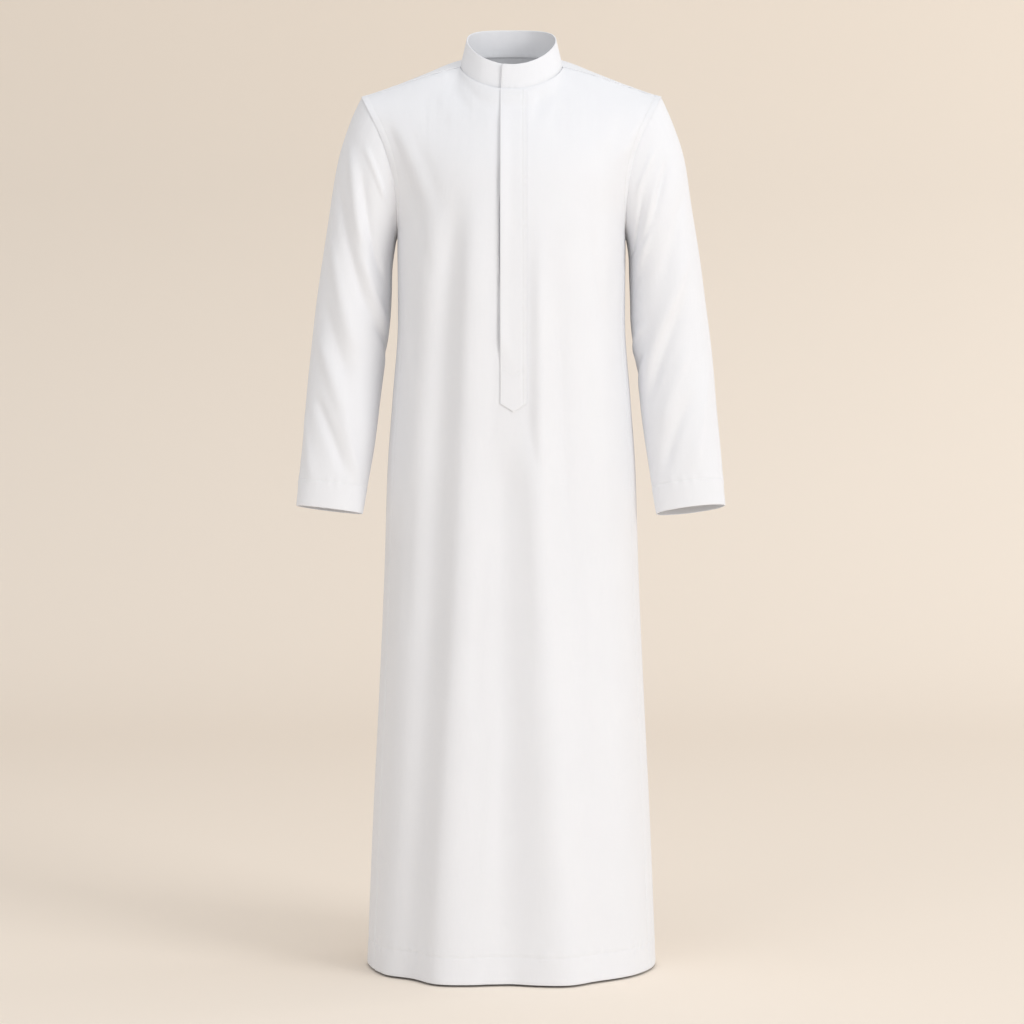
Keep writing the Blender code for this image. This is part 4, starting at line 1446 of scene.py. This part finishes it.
@dataclass
class Sleeves:
    """Both sleeves with their cuffs. Creases are in degrees round and share of length."""

    room: Workroom
    columns: int = 116
    rows: int = 180
    cuff_rows: int = 24
    cuff_lap: float = 0.0024
    cuff_zone: float = 0.03
    cuff_zone_rows: int = 12
    cuff_wall: tuple[float, float] = (0.0016, 0.0004)
    cuff_proud: float = 0.0010
    cuff_band: float = 0.0016
    cuff_pucker: Pucker = Pucker(0.0009, 0.014, 6.0, 0.009)
    cuff_groove: Groove = Groove(0.0003, 0.0018)
    cuff_roll: Rolled = Rolled(0.0004, 0.0012)
    cuff_wave: Pucker = Pucker(0.0005, 0.041, 8.0, 0.02)
    cuff_swell: float = 0.0003
    cuff_swell_in: float = 0.003
    head_roll: Rolled = Rolled(0.0010, 0.0045)
    head_pucker: Pucker = Pucker(0.0006, 0.020, 2.0, 0.022)
    slow: float = 0.0006
    finer: float = 0.3
    round_m: float = 0.055
    cuff_round_m: float = 0.034
    tuck: float = 0.0016
    right_creases: tuple[Crease, ...] = (
        Crease((52, 0.075), (116, 0.085), 0.009, 0.0022),
        Crease((34, 0.10), (104, 0.36), 0.0125, 0.0048, 0.004, 0.2),
        Crease((88, 0.30), (166, 0.54), 0.0120, 0.0046, -0.004),
        Crease((64, 0.10), (150, 0.40), 0.0110, -0.0042, -0.004),
        Crease((24, 0.20), (128, 0.53), 0.0115, -0.0042, 0.003),
        Crease((26, 0.32), (112, 0.64), 0.0120, 0.0044, 0.004),
        Crease((120, 0.50), (196, 0.60), 0.0090, -0.0034, 0.003),
        Crease((34, 0.48), (104, 0.70), 0.0105, -0.0028, 0.003),
        Crease((30, 0.56), (110, 0.80), 0.0115, 0.0040, 0.004),
        Crease((92, 0.74), (146, 0.94), 0.0100, 0.0036, -0.003),
        Crease((36, 0.70), (118, 0.93), 0.0090, -0.0038, 0.003),
        Crease((8, 0.74), (58, 0.95), 0.0100, 0.0022, 0.002),
        Crease((236, 0.10), (296, 0.44), 0.0130, 0.0044, 0.004),
        Crease((212, 0.16), (262, 0.46), 0.0120, -0.0040, 0.004),
        Crease((196, 0.40), (270, 0.60), 0.0110, 0.0038, -0.003),
        Crease((236, 0.48), (318, 0.78), 0.0120, -0.0038, 0.004),
        Crease((222, 0.62), (300, 0.92), 0.0120, 0.0038, 0.003),
        Crease((300, 0.20), (338, 0.62), 0.0120, -0.0030, 0.003),
    )
    left_creases: tuple[Crease, ...] = (
        Crease((58, 0.07), (112, 0.07), 0.009, 0.0020),
        Crease((48, 0.12), (126, 0.27), 0.0100, -0.0044, 0.004),
        Crease((66, 0.10), (146, 0.36), 0.0115, 0.0040, 0.003, 0.2),
        Crease((92, 0.08), (160, 0.24), 0.0085, -0.0026, 0.003),
        Crease((30, 0.22), (108, 0.44), 0.0110, -0.0026, 0.003),
        Crease((36, 0.34), (160, 0.73), 0.0130, 0.0048, 0.005, 0.2),
        Crease((58, 0.46), (150, 0.74), 0.0100, -0.0042, 0.003),
        Crease((136, 0.58), (200, 0.66), 0.0080, -0.0036, 0.003),
        Crease((128, 0.50), (192, 0.60), 0.0090, 0.0030, 0.003),
        Crease((62, 0.58), (128, 0.82), 0.0100, 0.0028, 0.003),
        Crease((66, 0.70), (136, 0.92), 0.0095, -0.0036, 0.003),
        Crease((28, 0.64), (84, 0.93), 0.0110, 0.0026, 0.003),
        Crease((230, 0.12), (290, 0.46), 0.0130, -0.0042, 0.004),
        Crease((252, 0.10), (318, 0.40), 0.0120, 0.0036, 0.004),
        Crease((200, 0.42), (276, 0.62), 0.0110, -0.0038, -0.003),
        Crease((214, 0.56), (296, 0.84), 0.0120, 0.0040, 0.004),
        Crease((250, 0.62), (322, 0.92), 0.0110, -0.0034, 0.003),
        Crease((306, 0.28), (344, 0.70), 0.0120, 0.0028, 0.003),
    )

    def creases(self, arm: Arm, angle: Array, v: Array) -> Array:
        """The height of one sleeve's creases and slow unevenness."""
        chosen = self.left_creases if arm.side > 0 else self.right_creases
        plan = (radians(1) * self.round_m, self.room.form.sleeve_long)
        turn = np.mod(angle, 2 * pi)
        total = self.slow * np.sin(2 * turn + 11 * v + arm.side) * np.sin(3 * turn - 17 * v)
        for shifted in (turn - 2 * pi, turn, turn + 2 * pi):
            x = shifted * self.round_m
            for crease in chosen:
                total = total + crease.height(x, v * plan[1], plan)
        return total

    def surface(self, arm: Arm) -> Surface:
        """One sleeve's outer side, by angle and share of length."""
        form = self.room.form

        def place(angle: Array, v: Array) -> Array:
            """Points of this sleeve."""
            point = form.sleeve_form(angle, v, arm, self.tuck)
            size = form.rings.read(v)
            middle = stack((size["out_x"] + size["in_x"]) / 2, size["y"], point[..., 2])
            away = unit(point - middle)
            point = point + away * self.creases(arm, angle, v)[..., None]
            point[..., 0] *= arm.side
            return point

        return place

    def head_lift(self, angle: Array, v: Array, reach: Reach) -> Array:
        """The sleeve's lift: its head rolls out of the seam, and its end meets the cuff."""
        upper = ease(np.cos(angle) + 0.3)
        roll = self.head_roll.deep + self.head_roll.lift(reach.top)
        ease_in = self.head_pucker.lift(reach.left, reach.top) * upper
        return roll + ease_in + self.cuff_seam(angle, reach.bottom)

    def cuff_seam(self, angle: Array, far: Array) -> Array:
        """The stitched line between sleeve and cuff, with its puckers."""
        turn = np.mod(angle, 2 * pi)
        outer = 0.6 + 0.7 * bell(turn - 0.5, 0.8)
        pucker = self.cuff_pucker.lift(turn * self.cuff_round_m, far) * outer
        return pucker + self.cuff_groove.lift(far)

    def cuff_lift(self, angle: Array, v: Array, reach: Reach) -> Array:
        """The cuff's lift."""
        along = np.mod(angle, 2 * pi) * self.cuff_round_m
        lift = self.cuff_proud + self.cuff_swell * ease(reach.top / self.cuff_swell_in)
        lift = lift + self.cuff_seam(angle, reach.top) + self.cuff_roll.lift(reach.bottom)
        return lift + self.cuff_wave.lift(along, reach.bottom)

    def build(self) -> list[Thing]:
        """Makes both sleeves and both cuffs."""
        form, room = self.room.form, self.room
        end = 1 - form.cuff_deep / form.sleeve_long
        start = end - self.cuff_zone
        us = np.linspace(0.0, 2 * pi, self.columns + 1)
        fine = np.linspace(start, end, self.cuff_zone_rows + 1)
        vs = np.concatenate([finer_ends(self.rows, self.finer) * start, fine[1:]])
        cuff_vs = np.linspace(end - self.cuff_lap, 1.0, self.cuff_rows + 1)
        made = []
        for choice in Hand:
            arm = choice.value
            surface = self.surface(arm)
            sleeve = Sheet(f"sleeve_{arm.hand}_cloth", surface, us, vs, arm.side, closed=True)
            cuff = Sheet(f"cuff_{arm.hand}_cloth", surface, us, cuff_vs, arm.side, closed=True)
            wall = (room.cloth, room.fine_edge)
            thing = room.cut(sleeve, self.head_lift, f"sleeve_{arm.hand}", wall)
            made.append(thing)
            thing = room.cut(cuff, self.cuff_lift, f"cuff_{arm.hand}", self.cuff_wall)
            stitches = self.stitch(cuff, arm)
            made.append(thing)
        return made

    def stitch(self, cuff: Sheet, arm: Arm) -> Thing:
        """The line of stitches that holds the cuff."""
        points, out, reach = cuff.laid(self.cuff_lift)
        sewing = Sewing(f"cuff_{arm.hand}_stitches")
        sewing.run(*at_distance(points, out, reach.top, self.cuff_band, 0, False))
        return self.room.sewn(sewing)


@dataclass
class Collar:
    """The standing band, one strip whose lower end runs under its upper one."""

    room: Workroom
    high: float = 0.0405
    lean: float = 0.0100
    wall: float = 0.0020
    gap: float = 0.0003
    stand: float = 0.0024
    over: float = radians(-12.5)
    under: float = radians(373)
    step_in: float = radians(30)
    corner: float = 0.0055
    proud: float = 0.0009
    proud_long: float = 0.018
    edge: float = 0.0006
    band: float = 0.0045
    band_groove: Groove = Groove(0.0003, 0.0011)
    band_pucker: Pucker = Pucker(0.0002, 0.015, 5.0, 0.25)
    wave: float = 0.0005
    wave_pitch: float = 0.075
    wave_seed: float = 2.0
    end_band: float = 0.0028
    round_m: float = 0.0765
    columns: int = 300
    finer: float = 0.4
    rows: int = 18

    def surface(self, angle: Array, up: Array) -> Array:
        """The band's outer side."""
        step = ease((angle - (2 * pi + self.over - self.step_in)) / self.step_in)
        inset = self.gap + (self.stand + self.gap * 2) * step
        along = (angle - self.over) * self.round_m
        end = np.clip(along, 0.0, self.corner)
        inset = inset - self.proud * (1 - ease(along / self.proud_long)) * up
        drop = self.corner - np.sqrt(np.maximum(self.corner**2 - (self.corner - end) ** 2, 0.0))
        high = self.high - drop
        return self.room.form.collar(angle, up, inset, self.lean, high)

    def lift(self, angle: Array, up: Array, reach: Reach) -> Array:
        """The band's lift: sewn edges sink, and the band is a little uneven."""
        wave = self.wave * uneven(reach.left, self.wave_pitch, self.wave_seed) * up
        groove = self.band_groove.lift(reach.bottom - self.band)
        return groove + wave + self.band_pucker.lift(reach.left, up)

    def build(self) -> list[Thing]:
        """Makes the band and its stitching."""
        us = mix(self.over, self.under, finer_ends(self.columns, self.finer))
        sheet = Sheet("collar_cloth", self.surface, us, np.linspace(1.0, 0.0, self.rows + 1), 1)
        thing = self.room.cut(sheet, self.lift, "collar_band", (self.wall, self.edge))
        points, out, reach = sheet.laid(self.lift)
        sewing = Sewing("collar_stitches")
        sewing.run(*at_distance(points, out, reach.bottom, self.band, 0, True))
        down = at_distance(points, out, reach.left, self.end_band, 1, False)
        sewing.run(*trim(down, 2, 2))
        stitches = self.room.sewn(sewing)
        return [thing]


@dataclass
class Placket:
    """The placket down the front, its free edge just open, and the strip behind it."""

    room: Workroom
    top: float = -0.0475
    corner: float = -0.536
    under_half: float = 0.0150
    under_top: float = -0.0525
    under_end: float = -0.515
    under_inset: float = 0.0006
    under_columns: int = 12
    under_rows: int = 120
    wall: float = 0.0014
    edge: float = 0.00045
    lift_off: float = 0.0004
    opening: float = 0.0028
    opening_fade: tuple[float, float] = (0.05, 0.045)
    bar: float = -0.4775
    bar_gap: float = 0.005
    bar_groove: Groove = Groove(0.0003, 0.0014)
    sewn_grooves: tuple[Groove, Groove] = (Groove(0.0006, 0.0010), Groove(0.0006, 0.0012))
    sewn_pucker: Pucker = Pucker(0.0003, 0.016, 2.0, 0.006)
    bands: tuple[float, float] = (0.0015, 0.0065)
    point_band: float = 0.0020
    columns: int = 20
    finer: float = 0.35
    rows: int = 250
    look_across: tuple[float, float, int] = (-0.34, 0.34, 161)
    look_down: tuple[float, float, int] = (-0.03, -0.63, 480)
    last_cell: float = 1.001
    net_x: Array = field(default_factory=lambda: np.linspace(-0.05, 0.055, 106))
    net_z: Array = field(default_factory=lambda: np.linspace(-0.042, -0.60, 420))
    net_y: Array = field(default_factory=lambda: np.zeros(0))

    def __post_init__(self) -> None:
        """Reads the front's depth on a regular net of x and z."""
        across, row = np.meshgrid(np.linspace(*self.look_across), np.linspace(*self.look_down))
        point = self.room.form.front(across, row)
        lines = np.array(
            [[np.interp(self.net_x, line[:, 0], line[:, k]) for k in (1, 2)] for line in point]
        )
        depths = [
            np.interp(-self.net_z, -lines[:, 1, i], lines[:, 0, i]) for i in range(len(self.net_x))
        ]
        self.net_y = np.array(depths).T

    def on_front(self, x: Array, z: Array) -> Array:
        """The front's points at these x and z."""
        column = np.interp(x, self.net_x, np.arange(len(self.net_x)))
        column = np.clip(column, 0, len(self.net_x) - self.last_cell)
        row = np.interp(-z, -self.net_z, np.arange(len(self.net_z)))
        row = np.clip(row, 0, len(self.net_z) - self.last_cell)
        i, j = row.astype(int), column.astype(int)
        t, s = row - i, column - j
        upper = mix(self.net_y[i, j], self.net_y[i, j + 1], s)
        lower = mix(self.net_y[i + 1, j], self.net_y[i + 1, j + 1], s)
        return stack(x, mix(upper, lower, t), z)

    def surface(self, share: Array, down: Array) -> Array:
        """The placket's place on the front, across from -1 to 1 and down from 0 to 1."""
        form = self.room.form
        end = mix(form.placket_point, self.corner, np.minimum(np.abs(share), 1.0))
        return self.on_front(form.placket_x + form.placket_half * share, mix(self.top, end, down))

    def under_surface(self, share: Array, down: Array) -> Array:
        """The under strip's place behind the front."""
        x = self.room.form.placket_x + self.under_half * share
        return self.on_front(x, mix(self.under_top, self.under_end, down))

    def lift(self, share: Array, down: Array, reach: Reach) -> Array:
        """The placket's lift: its free edge stands open between its two ends."""
        z = mix(self.top, self.corner, down)
        ends = self.room.form.open_share(z, *self.opening_fade)
        sag = 1.0 + 0.35 * uneven(-z, 0.17, 1.0)
        free = self.opening * ends * sag * ease((-share - 0.1) / 0.9)
        lift = self.room.cloth + self.lift_off + self.wall + free
        for inset, groove in zip(self.bands, self.sewn_grooves):
            lift = lift + groove.lift(reach.right - inset)
        for gap in (0.0, self.bar_gap):
            lift = lift + self.bar_groove.lift(z - self.bar + gap)
        middle = sum(self.bands) / 2
        return lift + self.sewn_pucker.lift(reach.top, reach.right - middle)

    def under_lift(self, share: Array, down: Array, reach: Reach) -> Array:
        """The under strip's lift: it lies just inside the front."""
        return np.full(share.shape, -self.under_inset)

    def build(self) -> list[Thing]:
        """Makes the placket, the under strip and their stitching."""
        room = self.room
        us = mix(-1.0, 1.0, finer_ends(self.columns, self.finer))
        sheet = Sheet("placket_cloth", self.surface, us, np.linspace(0, 1, self.rows + 1), -1)
        thing = room.cut(sheet, self.lift, "placket", (self.wall, self.edge))
        stitches = self.stitch(sheet)
        under_us = np.linspace(-1, 1, self.under_columns + 1)
        under_vs = np.linspace(0, 1, self.under_rows + 1)
        under = Sheet("placket_under_cloth", self.under_surface, under_us, under_vs, -1)
        wall = (room.cloth, room.fine_edge)
        strip = room.cut(under, self.under_lift, "placket_under", wall, INSIDE_SLOT)
        return [thing, strip]

    def stitch(self, sheet: Sheet) -> Thing:
        """Two lines down the sewn edge, the bars across and the point's outline."""
        points, out, reach = sheet.laid(self.lift)
        sewing = Sewing("placket_stitches")
        for inset in self.bands:
            run = at_distance(points, out, reach.right, inset, 1, True)
            sewing.run(*trim(run, 1, 6))
        low = np.searchsorted(-mix(self.top, self.corner, sheet.vs), -self.bar)
        for row in (low, low + 3, 3, 6):
            sewing.run(points[row, 2:-2], out[row, 2:-2])
        run = at_distance(points, out, reach.left, self.bands[0], 1, False)
        sewing.run(*trim(run, low, 6))
        run = at_distance(points, out, reach.bottom, self.point_band, 0, True)
        sewing.run(*trim(run, 2, 2))
        return self.room.sewn(sewing)


# --- Studio ----------------------------------------------------------------------------------
WHITE = (1.0, 1.0, 1.0)


@dataclass
class Lamp:
    """One soft light: where it stands, what it looks at, its size, power and colour."""

    name: str
    place: tuple[float, float, float]
    target: tuple[float, float, float]
    size: tuple[float, float]
    watts: float
    colour: Colour = WHITE

    def build(self) -> None:
        """Adds the lamp."""
        light = bpy.data.lights.new(self.name, "AREA")
        light.shape = "RECTANGLE"
        light.size, light.size_y = self.size
        light.energy = self.watts
        light.color = self.colour
        lamp = bpy.data.objects.new(self.name, light)
        lamp.location = self.place
        aim = Vector(self.target) - Vector(self.place)
        lamp.rotation_euler = aim.to_track_quat("-Z", "Y").to_euler()
        bpy.context.scene.collection.objects.link(lamp)


@dataclass
class Studio:
    """Floor and backdrop in one sweep, soft lights and the camera."""

    paper: Finish
    floor: float = -1.4280
    near: float = -7.0
    far: float = 5.8
    bend: float = 2.4
    wide: float = 20.0
    tall: float = 7.0
    sweep_rows: int = 64
    world: Colour = (0.985, 0.99, 1.0)
    world_strength: float = 0.59
    camera_place: tuple[float, float, float] = (0.0008, -4.32, -0.576)
    sensor_mm: float = 36.0
    lens_mm: float = 95.695
    tip: float = radians(1.7255)
    lamps: tuple[Lamp, ...] = (
        Lamp("key", (6.5, -5.7, 1.6), (0.0, 0.0, -0.7), (3.5, 3.5), 308.0),
        Lamp("fill", (-4.2, -6.4, -0.1), (0.0, 0.0, -0.9), (4.0, 4.0), 119.0),
        Lamp("top", (0.6, -0.6, 3.4), (0.0, 0.0, -0.6), (3.0, 3.0), 32.0),
        Lamp("wall", (5.4, 2.2, 0.9), (0.8, 5.6, 0.1), (2.4, 2.4), 48.0, (1.0, 0.99, 0.97)),
        Lamp(
            "neck", (0.0, -0.02, -0.16), (0.0, 0.06, 0.0), (0.08, 0.06), 0.045, (1.0, 0.98, 0.96)
        ),
    )

    def build(self) -> None:
        """Makes the whole studio."""
        self.sweep()
        for lamp in self.lamps:
            lamp.build()
        world = bpy.data.worlds.new("soft_room")
        world.use_nodes = True
        light = world.node_tree.nodes["Background"]
        light.inputs["Color"].default_value = (*self.world, 1.0)
        light.inputs["Strength"].default_value = self.world_strength
        bpy.context.scene.world = world
        self.camera()

    def sweep(self) -> None:
        """The floor, which curves up into the backdrop."""
        code = bmesh.new()
        bmesh.ops.create_grid(code, x_segments=4, y_segments=self.sweep_rows, size=0.5)
        flat = self.far - self.bend - self.near
        arc = self.bend * pi / 2
        total = flat + arc + self.tall
        for vertex in code.verts:
            run = (vertex.co.y + 0.5) * total
            turn = min(max((run - flat) / self.bend, 0.0), pi / 2)
            rise = max(run - flat - arc, 0.0)
            y = self.near + min(run, flat) + self.bend * np.sin(turn)
            z = self.floor + self.bend * (1 - np.cos(turn)) + rise
            vertex.co = Vector((vertex.co.x * self.wide, y, z))
        for face in code.faces:
            face.smooth = True
        thing = mesh_object("backdrop", code)
        thing.data.materials.append(self.paper)

    def camera(self) -> None:
        """The camera, level with the middle of the robe and tipped slightly down."""
        lens = bpy.data.cameras.new("camera")
        lens.sensor_width = self.sensor_mm
        lens.lens = self.lens_mm
        lens.dof.use_dof = False
        camera = bpy.data.objects.new("camera", lens)
        camera.location = self.camera_place
        camera.rotation_euler = (pi / 2 - self.tip, 0.0, 0.0)
        bpy.context.scene.collection.objects.link(camera)
        bpy.context.scene.camera = camera


def main() -> None:
    """Builds the robe's looks and the studio around it."""
    logging.basicConfig(level=logging.INFO, format="%(name)s: %(message)s")
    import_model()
    room = Workroom(RobeForm(), Cotton().build(), Thread().build())
    assemblies = (BodyPanels(room), Sleeves(room), Collar(room), Placket(room))
    for assembly in assemblies:
        for piece in assembly.build():
            LOG.info("%s done", piece.name)
    Studio(Paper().build()).build()
    bpy.context.scene.view_settings.view_transform = "Standard"
    bpy.context.view_layer.update()


if __name__ == "__main__":
    main()
